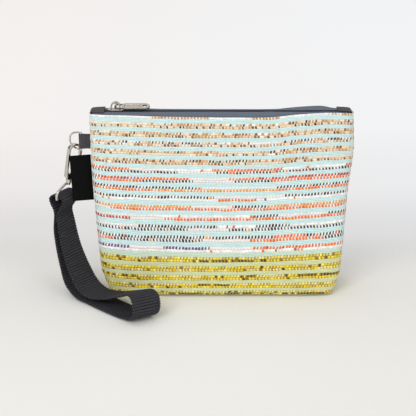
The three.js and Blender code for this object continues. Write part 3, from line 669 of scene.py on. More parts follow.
# Painted light: the sweep's tone turns warm towards the left and cool towards the right.
WARM_PAINTED_LIGHT = (1.0, 0.965, 0.945, 1)
COOL_PAINTED_LIGHT = (0.975, 0.99, 1.01, 1)
FAR_FADE = (0.8, 2.0)
SIDE_FADE = (-0.5, 0.5)
GLOW_STARTS = (0.0, 0.16)
GLOW_CLOSES = (0.8, 2.4)
ROOM_STRENGTH = 0.43
HEIGHT_TO_ROOM = (0.28, 0.88, 0.03, 2.1)


def sweep_tones_with_shade(back):
    far = SWEEP_TONES_WITH_SHADE[-1][0]
    ramp = place(back.tree, "ShaderNodeValToRGB", {"Fac": back / far})
    stops = ramp.color_ramp
    stops.interpolation = "EASE"
    for stop, tone in zip(stops.elements, (SWEEP_TONES_WITH_SHADE[0][1], SWEEP_TONES_WITH_SHADE[-1][1])):
        stop.color = linear(tone, tone, tone)
    for distance, tone in SWEEP_TONES_WITH_SHADE[1:-1]:
        stops.elements.new(distance / far).color = linear(tone, tone, tone)
    return ramp.outputs["Color"]


def paint_backdrop():
    material, tree, shader = new_material("pale_sweep", 0.9)
    feed(shader.inputs["Base Color"], fuzz(tree, *FLOOR_FUZZ)["Shade"].tint(linear(*FLOOR_TONE)))
    across, back = split(object_place(tree))[:2]
    ground = place(tree, "ShaderNodeCombineXYZ", {0: across, 1: back}).outputs[0]
    away = Value(place(tree, "ShaderNodeVectorMath", {0: ground}, operation="LENGTH").outputs["Value"])
    tone = away.ease(*FAR_FADE).mix(sweep_tones_with_shade(back), linear(*FAR_TONE))
    # The pale tone holds painted shade near the foot of the wall and painted warm and cool light at the
    # sides.
    wall = multiply(tone, across.ease(*SIDE_FADE).mix(WARM_PAINTED_LIGHT, COOL_PAINTED_LIGHT))
    glow = place(tree, "ShaderNodeEmission", {"Color": wall})
    ray = place(tree, "ShaderNodeLightPath").outputs
    seen = Value(ray["Is Camera Ray"]).most(ray["Is Glossy Ray"]).most(ray["Is Transmission Ray"])
    share = seen * back.ease(*GLOW_STARTS).most(away.ease(*GLOW_CLOSES))
    both = place(tree, "ShaderNodeMixShader", {0: share, 1: shader.outputs[0], 2: glow.outputs[0]})
    feed(tree.nodes["Material Output"].inputs["Surface"], both.outputs[0])
    for part in (backdrop, surround):
        part.data.materials.append(material)


def paint_room():
    scene.world = bpy.data.worlds.new("room")
    scene.world.use_nodes = True
    tree = scene.world.node_tree
    up = split(place(tree, "ShaderNodeTexCoord").outputs["Generated"])[2]
    feed(tree.nodes["Background"].inputs["Color"], up.ease(*HEIGHT_TO_ROOM))
    feed(tree.nodes["Background"].inputs["Strength"], ROOM_STRENGTH)


paint_backdrop()
paint_room()
print("room strength", ROOM_STRENGTH)

# %% [markdown]
# ## Making a sheet
# Every cloth piece starts as a grid of points on a surface, with its own map along the threads.
# Solidify then gives each one but the strap its thickness. A plane could be cut up and sculpted
# instead, but sums keep the real sizes. Working in millimetres keeps the numbers readable, so the
# points are turned into metres only when the mesh is made.


# %% Make a mesh from a grid
def grid_corners(grid):
    return np.stack([grid[:-1, :-1], grid[1:, :-1], grid[1:, 1:], grid[:-1, 1:]], 2)


def grid_faces(rows, columns, close_rows=False, close_columns=False):
    numbers = np.arange(rows * columns).reshape(rows, columns)
    if close_rows:
        numbers = np.vstack([numbers, numbers[:1]])
    if close_columns:
        numbers = np.hstack([numbers, numbers[:, :1]])
    return grid_corners(numbers).reshape(-1, 4).tolist()


def grid_map(across, down):
    """The map's corners for each face of a grid, from a grid of places across and down the cloth."""
    return grid_corners(np.stack([across, down], -1)).reshape(-1, 4, 2)


def make_piece(name, points, faces, material, corner_map=None):
    mesh = bpy.data.meshes.new(name)
    mesh.from_pydata((points.reshape(-1, 3) * MM).tolist(), [], faces)
    if corner_map is not None:
        mesh.uv_layers.new(name="UVMap").data.foreach_set("uv", corner_map.astype(np.float32).ravel())
    mesh.polygons.foreach_set("use_smooth", [True] * len(mesh.polygons))
    mesh.materials.append(material)
    piece = bpy.data.objects.new(name, mesh)
    scene.collection.objects.link(piece)
    return piece


def make_sheet(name, points, material, across, down):
    return make_piece(name, points, grid_faces(*points.shape[:2]), material, grid_map(across * MM, down * MM))


# %% Thicken a sheet and hand it over
SMOOTH_ANGLE = math.radians(60)


def thicken(piece, thickness):
    apply_modifier(piece, "SOLIDIFY", thickness=thickness * MM, offset=-1)
    bpy.ops.object.shade_smooth_by_angle(angle=SMOOTH_ANGLE)


def stand_for(piece, body, node):
    """Lets a piece stand for one node of the frame and move with its body."""
    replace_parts(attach(piece, body), node)


# %% Draw smooth lines
def smooth_step(value, low, high):
    share = np.clip((value - low) / (high - low), 0, 1)
    return share * share * (3 - 2 * share)


def rise_and_fall(value, rise, fall):
    return smooth_step(value, *rise) * (1 - smooth_step(value, *fall))


def bend_between(t, start, end, leaving, arriving):
    """Goes from start to end as t goes from 0 to 1, with a given slope at each."""
    ends = (2 * t**3 - 3 * t**2 + 1) * start + (3 * t**2 - 2 * t**3) * end
    return ends + (t**3 - 2 * t**2 + t) * leaving + (t**3 - t**2) * arriving


def through(stations, heights, x):
    """A smooth curve through a few stations."""
    stations, heights = np.asarray(stations, float), np.asarray(heights, float)
    slopes = np.gradient(heights, stations)
    x = np.clip(x, stations[0], stations[-1])
    left = np.clip(np.searchsorted(stations, x) - 1, 0, len(stations) - 2)
    gap = stations[left + 1] - stations[left]
    t = (x - stations[left]) / gap
    return bend_between(t, heights[left], heights[left + 1], gap * slopes[left], gap * slopes[left + 1])


def lengths_along(line):
    """How far along a line each of its points lies."""
    return np.concatenate([[0], np.cumsum(np.linalg.norm(np.diff(line, axis=0), axis=1))])


# %% [markdown]
# ## The pouch's shape
# The pouch is a soft box: narrow at the zip, deep at its boxed base, a little swollen between. A
# run is measured down the wall from the rim, round the base's fillet and in to the middle of the
# base, as the cloth really goes. A cloth simulation could fill such a box, but this pouch has to
# stand as it does in the photograph, so its section at each height is given. The rim isn't
# straight: it dips past the middle and lifts towards the right end, and the woven rows follow it
# and climb a little towards the side seams.

# %% Shape the wall from rim to base
POUCH_HEIGHT = 162.5
TOP_WIDTH = 222.8
TOP_DEPTH = 24
BASE_WIDTH = 207.2
BASE_DEPTH = 47
SIDE_BULGE = 1.8
BELLY_BULGE = 2.5
BASE_FILLET = 3
BASE_EDGE_LIFT = 0.8
BASE_EDGE_HEIGHT = 6
BASE_SAG_REACH = 12
WALL_RUN = POUCH_HEIGHT - BASE_FILLET
BASE_RUN = WALL_RUN + BASE_FILLET * math.pi / 2
FULL_RUN = BASE_RUN + BASE_DEPTH / 2 - BASE_FILLET


def half_size(z, base, top, swell):
    level = z / POUCH_HEIGHT
    return (base + (top - base) * level) / 2 + swell * 4 * level * (1 - level)


def wall_at(run):
    """How far in from the wall, and how high, a run down the cloth ends."""
    turn = np.clip((run - WALL_RUN) / BASE_FILLET, 0, math.pi / 2)
    inset = BASE_FILLET * (1 - np.cos(turn)) + np.clip(run - BASE_RUN, 0, None)
    height = np.where(run < WALL_RUN, POUCH_HEIGHT - run, BASE_FILLET * (1 - np.sin(turn)))
    edge = smooth_step(run, WALL_RUN - BASE_EDGE_HEIGHT, WALL_RUN)
    edge = edge - smooth_step(run, BASE_RUN, BASE_RUN + BASE_SAG_REACH)
    return inset, height + BASE_EDGE_LIFT * edge


print("run from rim to base middle", round(FULL_RUN, 1), "mm")

# %% Wave the rim and the rows
WAVE_PLACES = [-112, -90, -40, 10, 42, 67, 93, 112]
WAVE_LIFTS = [0, 0, -1.3, -1.9, -1.6, 0.9, 2.0, 0.8]
BEHIND_ZIP = (0, 8)
RIGHT_END = (84, 98)
CLIMB_REACH = 108
RIGHT_CLIMB = 2.6
RIGHT_CLIMB_POWER = 1.2
LEFT_CLIMB = 1.6
LEFT_CLIMB_POWER = 2.5
# The runs over which the wave fades and then ends, and the rows start and stop their climb.
WAVE_FADES = (0, 70)
WAVE_FADE = 0.75
WAVE_ENDS = (110, 150)
CLIMB_STARTS = (4, 48)
CLIMB_ENDS = (146, WALL_RUN)


def rim_wave(x, y):
    """How far the rim rises or falls: behind the zip it settles again at the right end."""
    settled = smooth_step(y, *BEHIND_ZIP) * smooth_step(x, *RIGHT_END)
    return through(WAVE_PLACES, WAVE_LIFTS, x) * (1 - settled)


def row_climb(x):
    right = np.clip(x / CLIMB_REACH, 0, 1) ** RIGHT_CLIMB_POWER
    left = np.clip(-x / CLIMB_REACH, 0, 1) ** LEFT_CLIMB_POWER
    return RIGHT_CLIMB * right + LEFT_CLIMB * left


def row_lift(x, y, run):
    wave = rim_wave(x, y) * (1 - WAVE_FADE * smooth_step(run, *WAVE_FADES))
    climb = row_climb(x) * rise_and_fall(run, CLIMB_STARTS, CLIMB_ENDS)
    return wave * (1 - smooth_step(run, *WAVE_ENDS)) + climb


print("rim waves by", max(WAVE_LIFTS) - min(WAVE_LIFTS), "mm")

# %% Go round the section
CORNER_TUCK = 6.5
CORNER_HEIGHT = 22
TUCK_POWER = 1.4
RIGHT_SWELL = 2.0
RIGHT_SWELL_HEIGHT = 128
RIGHT_SWELL_SPAN = 24
# How square the section is at some heights: the base's right corners are crisper than its left ones.
SQUARE_HEIGHTS = [0, 30, 90, POUCH_HEIGHT]
RIGHT_SQUARE = [12, 7, 4.4, 6]
LEFT_SQUARE = [5, 4.8, 4.4, 6]
QUARTER_STEPS = 60
GIRTH_POINTS = 400


def half_turns(start_turn):
    """Turns round half the section, closer together where the outline runs straight."""
    share = np.linspace(0, 1, QUARTER_STEPS, endpoint=False)
    bunched = np.where(share < 0.5, 4 * share**3, 1 - 4 * (1 - share) ** 3)
    turns = [start_turn + (quarter + bunched) * math.pi / 2 for quarter in range(2)]
    return np.append(np.concatenate(turns), start_turn + math.pi)


def half_section(run, turn, inset):
    """Across and along the pouch, for runs down it and turns round it."""
    drawn, z = wall_at(run)
    right = np.cos(turn) > 0
    square = [np.interp(z, SQUARE_HEIGHTS, side) for side in (RIGHT_SQUARE, LEFT_SQUARE)]
    power = 2 / np.where(right, *square)
    tuck = CORNER_TUCK * np.clip(1 - z / CORNER_HEIGHT, 0, 1) ** TUCK_POWER
    swell = RIGHT_SWELL * np.exp(-(((z - RIGHT_SWELL_HEIGHT) / RIGHT_SWELL_SPAN) ** 2)) * right
    wide = half_size(z, BASE_WIDTH, TOP_WIDTH, SIDE_BULGE) + swell - tuck - drawn - inset
    deep = half_size(z, BASE_DEPTH, TOP_DEPTH, BELLY_BULGE) - drawn - inset
    x = np.clip(wide, 0, None) * np.sign(np.cos(turn)) * np.abs(np.cos(turn)) ** power
    y = np.clip(deep, 0, None) * np.sign(np.sin(turn)) * np.abs(np.sin(turn)) ** power
    return x, y


def pouch_points(runs, start_turn, shares, inset):
    """Points of half the pouch, drawn in by an inset, for runs down it and shares of the way round."""
    x, y = half_section(*np.meshgrid(runs, half_turns(start_turn), indexing="ij"), inset)
    even = []
    for row in np.stack([x, y], -1):
        length = lengths_along(row)
        even.append([np.interp(shares * length[-1], length, values) for values in row.T])
    x, y = np.moveaxis(np.array(even), 1, 0)
    run = np.repeat(runs[:, None], len(shares), axis=1)
    rise = inset * smooth_step(run, WALL_RUN, BASE_RUN)
    return np.stack([x, y, wall_at(run)[1] + row_lift(x, y, run) + rise], -1)


mid_line = pouch_points(np.array([POUCH_HEIGHT / 2]), 0.0, np.linspace(0, 1, GIRTH_POINTS), 0)[0]
panel_width = lengths_along(mid_line[:, :2])[-1]
print("half girth at mid height", round(panel_width, 1), "mm")

# %% [markdown]
# ## Front and back panels
# Each panel is a grid whose lines follow the woven rows, with more lines where a pick is round, so
# that every foil pick and yarn pick stands up from the cloth as real relief. A bump in the material
# would be lighter, but it leaves the outline flat. The panels meet in a pinched seam down each
# side. The front panel runs on under the base and a little way up the back, so it is made as two
# grids that are joined and welded along the middle of the base.

# %% Space the rows
FOIL_RISE = 0.5
YARN_RISE = 0.25
LINE_GAP = 0.2
ROW_SAMPLES = 2000
FOIL_LINES = [(pick + line) * FOIL_SHARE / 2 for pick in range(2) for line in (0, 0.12, 0.35, 0.65, 0.88)]
YARN_LINES = [FOIL_SHARE + (1 - FOIL_SHARE) * line / (2 * YARN_PICKS) for line in range(2 * YARN_PICKS)]
# The weaver beat some rows closer than others: how many rows lie above each run down the wall.
ROW_COUNTS = [0.2, 0.78, 4.78, 9.78, 11.78, 14.78, 17.78, 19.78, 23]
ROW_RUNS = [0, 4.6, 36.2, 76.2, 93.6, 122.7, 148.4, 162.8, 190]


def row_runs(start, end):
    """Runs down the wall at every line of every row, between a start and an end."""
    lines = np.add.outer(np.arange(math.ceil(ROW_COUNTS[-1])), FOIL_LINES + YARN_LINES).ravel()
    runs = through(ROW_COUNTS, ROW_RUNS, lines[lines > ROW_COUNTS[0]])
    return np.array([start, *runs[(runs > start + LINE_GAP) & (runs < end - LINE_GAP)], end])


def rows_above(runs):
    counts = np.linspace(ROW_COUNTS[0], ROW_COUNTS[-1], ROW_SAMPLES)
    return np.interp(runs, through(ROW_COUNTS, ROW_RUNS, counts), counts)


def round_pick(place_in_pick):
    return np.sqrt(np.clip(1 - (2 * (place_in_pick % 1) - 1) ** 2, 0, 1))


def row_relief(rows):
    part = rows - np.floor(rows)
    foil = FOIL_RISE * round_pick(part * 2 / FOIL_SHARE)
    yarn = YARN_RISE * round_pick((part - FOIL_SHARE) * YARN_PICKS / (1 - FOIL_SHARE))
    return np.where(part < FOIL_SHARE, foil, yarn)


print("lines in a row", len(FOIL_LINES) + len(YARN_LINES))

# %% Weave a grid
PANEL_SET_IN = 0.4
PANEL_COLUMNS = 104
SEAM_PINCH = 0.9
SEAM_REACH = 3.0
RELIEF_FADE = 3
SWAY = 0.35
SWAY_LENGTHS = (31, 37, 17)
SWAY_START = 0.6
SHORT_SWAY = 0.5
SLACK_STARTS = (4, 40)
SLACK_ENDS = (120, 150)


def outward(points):
    """The direction out of the pouch at each point, level with the seam at both sides."""
    normal = np.cross(np.gradient(points, axis=0), np.gradient(points, axis=1))
    normal[:, [0, -1], 1] = 0
    return normal / np.maximum(np.linalg.norm(normal, axis=-1, keepdims=True), 1e-9)


def weave_grid(name, runs, start_turn, map_start):
    shares = np.linspace(0, 1, PANEL_COLUMNS)
    along = shares * panel_width
    points = pouch_points(runs, start_turn, shares, PANEL_SET_IN)
    rows = rows_above(runs)
    on_wall = 1 - smooth_step(runs, BASE_RUN - RELIEF_FADE, BASE_RUN)
    from_seam = np.minimum(along, along[-1] - along)
    relief = row_relief(rows)[:, None] - SEAM_PINCH * np.exp(-((from_seam / SEAM_REACH) ** 2))
    long, tall, short = (points[..., axis] / size for axis, size in zip((0, 2, 0), SWAY_LENGTHS))
    sway = np.sin(long + SWAY_START) * np.sin(tall) + SHORT_SWAY * np.sin(short)
    slack = rise_and_fall(runs, SLACK_STARTS, SLACK_ENDS)
    relief = (relief + SWAY * sway * slack[:, None]) * on_wall[:, None]
    points = points + outward(points) * relief[..., None]
    corner_map = grid_map(*np.meshgrid(along * MM + map_start, rows))
    return make_piece(name, points, grid_faces(len(runs), len(shares)), striped_cloth, corner_map)


# %% Sew the panels
PANEL_THICKNESS = 0.8
BACK_SEAM_HEIGHT = 10
BACK_SEAM_GAP = 0.3
FRONT_RIM_DROP = 1.0
BACK_RIM_DROP = 0.9
BACK_MAP_START = 0.35
WELD_DISTANCE = 0.00005


def sew_panel(piece, node, length):
    thicken(piece, PANEL_THICKNESS)
    stand_for(piece, "pouch", node)
    print(piece.name, len(piece.data.polygons), "faces, cut", round(length), "mm long")


back_seam_run = POUCH_HEIGHT - BACK_SEAM_HEIGHT
under_runs = row_runs(back_seam_run + BACK_SEAM_GAP / 2, FULL_RUN)
front_weave = weave_grid("front_weave", row_runs(FRONT_RIM_DROP, FULL_RUN), math.pi, 0.0)
under_weave = weave_grid("under_weave", under_runs, 0.0, BACK_MAP_START)
select_only(front_weave)
under_weave.select_set(True)
bpy.ops.object.join()
edit(front_weave, bpy.ops.mesh.remove_doubles, threshold=WELD_DISTANCE)
sew_panel(front_weave, "front_panel", FULL_RUN - FRONT_RIM_DROP + FULL_RUN - under_runs[0])
back_runs = row_runs(BACK_RIM_DROP, back_seam_run - BACK_SEAM_GAP / 2)
back_weave = weave_grid("back_weave", back_runs, 0.0, BACK_MAP_START)
sew_panel(back_weave, "back_panel", back_runs[-1] - BACK_RIM_DROP)

# %% [markdown]
# ## Lining
# The lining is plain dark cloth that hangs just inside the panels. The panels' own sums draw it
# too, a little further in. It shows only through the open zip, so a coarse grid with a few slack
# waves is enough.

# %% Hang the lining
LINING_INSET = 1.75
LINING_THICKNESS = 0.4
LINING_TOP = 3.0
LINING_LINES = 70
LINING_WAVE = 0.25
LINING_WAVE_LENGTH = 9
LINING_WAVE_STARTS = (10, 60)


def hang_lining(name, node, start_turn):
    runs = np.linspace(LINING_TOP, FULL_RUN, LINING_LINES)
    shares = np.linspace(0, 1, LINING_LINES)
    along = shares * panel_width
    points = pouch_points(runs, start_turn, shares, LINING_INSET)
    slack = np.sin(along / LINING_WAVE_LENGTH) * smooth_step(runs, *LINING_WAVE_STARTS)[:, None] - 1
    slack = LINING_WAVE * slack * (runs < WALL_RUN)[:, None]
    points = points + outward(points) * slack[..., None]
    piece = make_sheet(name, points, lining_cloth, *np.meshgrid(along, runs))
    thicken(piece, LINING_THICKNESS)
    stand_for(piece, "pouch", node)
    print(name, len(piece.data.polygons), "faces")


hang_lining("front_lining_cloth", "front_lining", math.pi)
hang_lining("back_lining_cloth", "back_lining", 0.0)

# %% [markdown]
# ## Zip tape
# The two tapes lie flat between the rims, with their inner edges rolled down to the coil. Their
# sewn edges follow the wavy rim, and the path that the slider takes stays straight. One long strip
# would do for a zip that stays shut. This one opens, so the middle stretch of each tape is cut in
# two pieces, which stay where they are made while the sewn ends go with the pouch.

# %% Measure the zip
FABRIC = 1.2
RIM_POWER = 6
SLIDER_PATH = 5.0
SEWN_EDGE = 1
tape_low, tape_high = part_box("zip_tape_front_middle")
tape_top = tape_high.z / MM
tape_split = -tape_high.y / MM
open_start = tape_low.x / MM
open_end = tape_high.x / MM
open_middle = (open_start + open_end) / 2
rim_half_width = TOP_WIDTH / 2 - FABRIC
rim_half_depth = TOP_DEPTH / 2 - FABRIC


def rim_edge(x, clearance):
    share = np.minimum(1, np.abs(x) / (rim_half_width - clearance))
    return (rim_half_depth - clearance) * (1 - share**RIM_POWER) ** (1 / RIM_POWER)


def zip_wave(x, y):
    """The tape follows the wavy rim at its sewn edge, and stays straight where the slider runs."""
    return rim_wave(x, y) * smooth_step(np.abs(y), SLIDER_PATH, rim_half_depth - SEWN_EDGE)


print("tape top", round(tape_top, 2), "split", round(2 * tape_split, 2))


# %% Cut the zip in stretches
def carry_zip(piece, stretch):
    """Carries a zip piece by the pouch, or leaves it where it is, with its transform baked into its points.
    """
    if stretch in ("left", "right"):
        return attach(piece, "pouch")
    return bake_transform(piece)


def stretches(kind):
    """Both zip halves in four stretches each, with the node that the first of each stands for."""
    for half, side in (("front", -1), ("back", 1)):
        node = f"zip_{kind}_{half}"
        left, middle, right = (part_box(f"{node}_{part}") for part in ("left", "middle", "right"))
        left_meet = (left[1].x + middle[0].x) / 2 / MM
        right_meet = (middle[1].x + right[0].x) / 2 / MM
        yield half, side, "left", left[0].x / MM, left_meet, f"{node}_left"
        yield half, side, "opening_left", left_meet, open_middle, f"{node}_middle"
        yield half, side, "opening_right", open_middle, right_meet, None
        yield half, side, "right", right_meet, right[1].x / MM, f"{node}_right"


def fit_zip(kind, make):
    for half, side, stretch, x0, x1, node in stretches(kind):
        piece = make(f"{kind}_{half}_{stretch}", side, x0, x1)
        carry_zip(piece, stretch)
        if node:
            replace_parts(piece, node)
        print(piece.name, "from", round(x0), "to", round(x1), "mm")


# %% Lay the tapes
TAPE_CROWN = 0.35
TAPE_THICKNESS = 0.55
TAPE_STEP = 1.6
TAPE_FEWEST = 8
RIM_CLEARANCE = 0.5
# Steps from the sewn edge to the coil, and how far each stands up: the sewn edge turns down.
TAPE_PROFILE = [
    (0, -4), (0.01, -0.6), (0.06, 0.1), (0.14, 0.3), (0.4, 0.4), (0.65, 0.2), (0.8, -0.1), (0.9, -0.4),
    (0.97, -0.8), (1, -1.2),
]


def lay_tape(name, side, x0, x1):
    stations = np.linspace(x0, x1, max(TAPE_FEWEST, int((x1 - x0) / TAPE_STEP)))
    share, rise = np.array(TAPE_PROFILE).T
    outer = rim_edge(stations, RIM_CLEARANCE)[:, None]
    x = np.repeat(stations[:, None], len(share), axis=1)
    y = side * (outer + (tape_split - outer) * share)
    z = tape_top + zip_wave(x, y) + TAPE_CROWN * rise
    piece = make_sheet(name, np.stack([x, y, z], -1), tape_cloth, x, y)
    if side > 0:
        edit(piece, bpy.ops.mesh.flip_normals)
    thicken(piece, TAPE_THICKNESS)
    return piece


fit_zip("tape", lay_tape)

# %% [markdown]
# ## Zip coil
# A coil zip's teeth are one nylon wire wound into flat hairpins along each tape's edge. The two rows
# stand half a pitch apart and mesh, and they part a little at the right end, where the open zip's
# slider parks with its wedge between them. An array could repeat one hairpin, but it couldn't part
# the rows, so a formula gives the wire's middle line: round and round in a flat loop, with the step
# to the next hairpin taken on the sewn side.

# %% Wind the coils
COIL_PITCH = 1.3
COIL_RADIUS = 0.27
COIL_SIDES = 6
COIL_POINTS = 14
COIL_MIDDLE = 0.72
COIL_REACH = 1.2
COIL_RISE = 0.52
PART_STARTS = (80, 84)
PART_ENDS = (87, 90)
PART_SHIFT = 1.03
PART_SHORTER = 0.35
coil_level = sum(corner.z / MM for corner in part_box("zip_coil_front_middle")) / 2


def tube(line, radius, sides):
    """Rings of points round a line that mostly runs across X, and the faces of the closed tube."""
    ahead = np.gradient(line, axis=0)
    ahead /= np.linalg.norm(ahead, axis=1, keepdims=True)
    first = np.cross(ahead, [1.0, 0, 0])
    first /= np.maximum(np.linalg.norm(first, axis=1, keepdims=True), 1e-6)
    second = np.cross(ahead, first)
    turn = np.linspace(0, 2 * math.pi, sides, endpoint=False)[:, None]
    points = line[:, None] + radius * (np.cos(turn) * first[:, None] + np.sin(turn) * second[:, None])
    faces = grid_faces(len(line), sides, close_columns=True)
    last = (len(line) - 1) * sides
    return points, [*faces, list(range(sides)), list(range(last + sides - 1, last - 1, -1))]


def wind_coil(name, side, x0, x1):
    turns = int((x1 - x0 - 2 * COIL_RADIUS) / COIL_PITCH)
    first = math.ceil((x0 + COIL_RADIUS) / COIL_PITCH) - 0.5 + side / 4
    angle = np.linspace(-math.pi, (2 * turns - 1) * math.pi, turns * COIL_POINTS)
    whole = np.floor((angle + math.pi) / (2 * math.pi))
    within = angle - whole * 2 * math.pi
    x = (first + whole + smooth_step(within, -math.pi / 2, math.pi / 2)) * COIL_PITCH
    x = np.clip(x, x0 + COIL_RADIUS, x1 - COIL_RADIUS)
    parted = rise_and_fall(x, PART_STARTS, PART_ENDS)
    reach = COIL_REACH - PART_SHORTER * parted
    y = side * (COIL_MIDDLE + PART_SHIFT * parted + reach * np.cos(angle))
    z = coil_level + COIL_RISE * np.sin(angle)
    return make_piece(name, *tube(np.stack([x, y, z], -1), COIL_RADIUS, COIL_SIDES), coil_nylon)


fit_zip("coil", wind_coil)

# %% [markdown]
# ## End tabs
# A strip of charcoal ribbon is folded over each end of the zip. A box would look cut off, so its
# middle line is a hairpin seen from the side, swept across the zip and trimmed to the rim's rounded
# end.

# %% Fold the end tabs
TAB_THICKNESS = 0.5
TAB_PRESSED = 0.3
TAB_SIDE_GAP = 0.25
TAB_CROWN = 0.25
LEAF_POINTS = 12
FOLD_POINTS = 9
TAB_COLUMNS = 25


def box_mm(node):
    """A node's low and high corners, in millimetres."""
    return [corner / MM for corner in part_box(node)]


def fold_end_tab(name, node, side):
    low, high = box_mm(node)
    inner, outer = sorted((abs(low.x), abs(high.x)))
    half = (high.z - low.z) / 2 - TAB_THICKNESS / 2 - TAB_PRESSED
    leaf = np.linspace(inner, outer - half, LEAF_POINTS)
    turn = np.linspace(math.pi / 2, -math.pi / 2, FOLD_POINTS)[1:-1]
    x = np.concatenate([leaf, outer - half + half * np.cos(turn), leaf[::-1]])
    z = np.concatenate([np.full_like(leaf, half), half * np.sin(turn), np.full_like(leaf, -half)])
    length = lengths_along(np.stack([x, z], -1))
    share = np.linspace(-1, 1, TAB_COLUMNS)
    y = rim_edge(x, TAB_SIDE_GAP)[:, None] * share
    x_grid, down = (np.repeat(values[:, None], len(share), axis=1) for values in (side * x, length))
    crown = TAB_CROWN * (1 - share**2) * (z > 0)[:, None]
    height = (low.z + high.z) / 2 + z[:, None] + zip_wave(x_grid, y) + crown
    piece = make_sheet(name, np.stack([x_grid, y, height], -1), tab_cloth, y, down)
    if side > 0:
        edit(piece, bpy.ops.mesh.flip_normals)
    thicken(piece, TAB_THICKNESS)
    stand_for(piece, "pouch", node)
    print(name, "folded from", round(length[-1], 1), "mm")


fold_end_tab("end_tab_left", "zip_end_tab_left", -1)
fold_end_tab("end_tab_right", "zip_end_tab_right", 1)

# %% [markdown]
# ## Cast metal
# The slider, pull, ring, hook, trigger and eye have the right shape in the frame, but sharp edges.
# Plated zinc castings have soft edges. Bevels would trip over the frame's triangles, so each solid
# is copied, its loose triangles are merged, and a fine voxel remesh and a few rounds of smoothing
# round every edge by a fraction of a millimetre. A shallow panel is pressed into the pull first.
# The copy stands for its node and moves with its body.

# %% Round the castings
CAST_VOXEL = 0.00019
MERGE_DISTANCE = 0.000002
PULL_TIP = math.radians(15)
RECESS_SIZE = (0.013, 0.0044, 0.001)
RECESS_RISE = 0.0007


def press_recess(piece):
    """Presses a shallow panel into the top of the pull, which lies tipped towards the front."""
    low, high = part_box("slider_pull")
    bpy.ops.object.select_all(action="DESELECT")
    bpy.ops.mesh.primitive_cube_add(size=1, location=(low + high) / 2, rotation=(PULL_TIP, 0, 0))
    cutter = bpy.context.object
    cutter.scale = RECESS_SIZE
    bpy.ops.object.transform_apply(location=True, rotation=True, scale=True)
    up = Vector((0, -math.sin(PULL_TIP), math.cos(PULL_TIP)))
    cutter.data.transform(Matrix.Translation(up * RECESS_RISE))
    apply_modifier(piece, "BOOLEAN", object=cutter, operation="DIFFERENCE", solver="EXACT")
    bpy.data.objects.remove(cutter)


def give_finish(piece, finish):
    piece.data.materials.clear()
    piece.data.materials.append(finish)


def round_casting(node, name, body, rounds, finish):
    piece = bpy.data.objects.new(name, frame["nodes"][node].data.copy())
    scene.collection.objects.link(piece)
    edit(piece, bpy.ops.mesh.remove_doubles, threshold=MERGE_DISTANCE)
    if node == "slider_pull":
        press_recess(piece)
    apply_modifier(piece, "REMESH", mode="VOXEL", voxel_size=CAST_VOXEL)
    apply_modifier(piece, "SMOOTH", factor=0.5, iterations=rounds)
    bpy.ops.object.shade_smooth()
    give_finish(piece, finish)
    stand_for(piece, body, node)
    print(name, len(piece.data.polygons), "faces")


round_casting("zip_slider", "slider_casting", "slider", 6, zip_nickel)
round_casting("slider_pull", "pull_casting", "pull", 6, zip_nickel)
round_casting("d_ring", "ring_wire", "ring", 5, nickel)
round_casting("hook_body", "hook_casting", "hook", 9, nickel)
round_casting("hook_trigger", "trigger_casting", "trigger", 6, nickel)
round_casting("swivel_eye", "swivel_casting", "swivel", 6, nickel)
for node in ("trigger_pin", "trigger_spring"):
    give_finish(frame["nodes"][node], steel)

# %% [markdown]
# ## Ribbon and label
# Both are strips folded double and caught in the side seam. The ribbon wraps the ring's bar, and
# its two leaves are sewn together beside it. The label hangs flat. A folded box would hide that
# each is one strip, so each is a middle line in plan, swept upwards.

# %% Fold a strip
BEND_ANGLES = np.radians(np.linspace(250, 110, 15))


def sweep_up(name, line, low, high, count, material, thickness):
    """A strip whose middle line in plan runs through X and Y, from one height to another."""
    line = np.asarray(line, float)
    length = lengths_along(line)
    across, along = np.meshgrid(np.linspace(low, high, count), length)
    plan = np.repeat(line[:, None], count, axis=1)
    piece = make_sheet(name, np.dstack([plan, across]), material, across, along)
    apply_modifier(piece, "SOLIDIFY", thickness=thickness * MM, offset=0)
    print(name, "cut", round(length[-1], 1), "mm long")
    return piece, length[-1]


def hairpin(root, turn_centre, radius, waist, waist_at):
    """A plan line from the seam, round a bar at the turn's centre, and back to the seam."""
    bend = [(turn_centre + radius * math.cos(a), radius * math.sin(a)) for a in BEND_ANGLES]
    lead = [(root, -waist), ((root + waist_at) / 2, -waist), (waist_at, -waist)]
    ease_in = ((waist_at + bend[0][0]) / 2, (bend[0][1] - waist) / 2)
    back = [(x, -y) for x, y in reversed([*lead, ease_in])]
    return [*lead, ease_in, *bend, *back]


# %% Fold the ribbon
RIBBON_THICKNESS = 0.7
RIBBON_LINES = 22
RIBBON_ROOT_IN = 0.1
RIBBON_BEND = 1.55
RIBBON_WAIST = 0.45
RIBBON_WAIST_AT = 4.2
bar_x = (Vector(joints["ring_swing"]["pos_m"]) / MM).x
ribbon_low, ribbon_high = box_mm("ring_ribbon")
ribbon_span = (ribbon_low.z, ribbon_high.z)
ribbon_root = ribbon_high.x - RIBBON_ROOT_IN
ribbon_line = hairpin(ribbon_root, bar_x, RIBBON_BEND, RIBBON_WAIST, bar_x + RIBBON_WAIST_AT)
ribbon, ribbon_length = sweep_up(
    "ribbon_loop", ribbon_line, *ribbon_span, RIBBON_LINES, tab_cloth, RIBBON_THICKNESS
)
stand_for(ribbon, "pouch", "ring_ribbon")

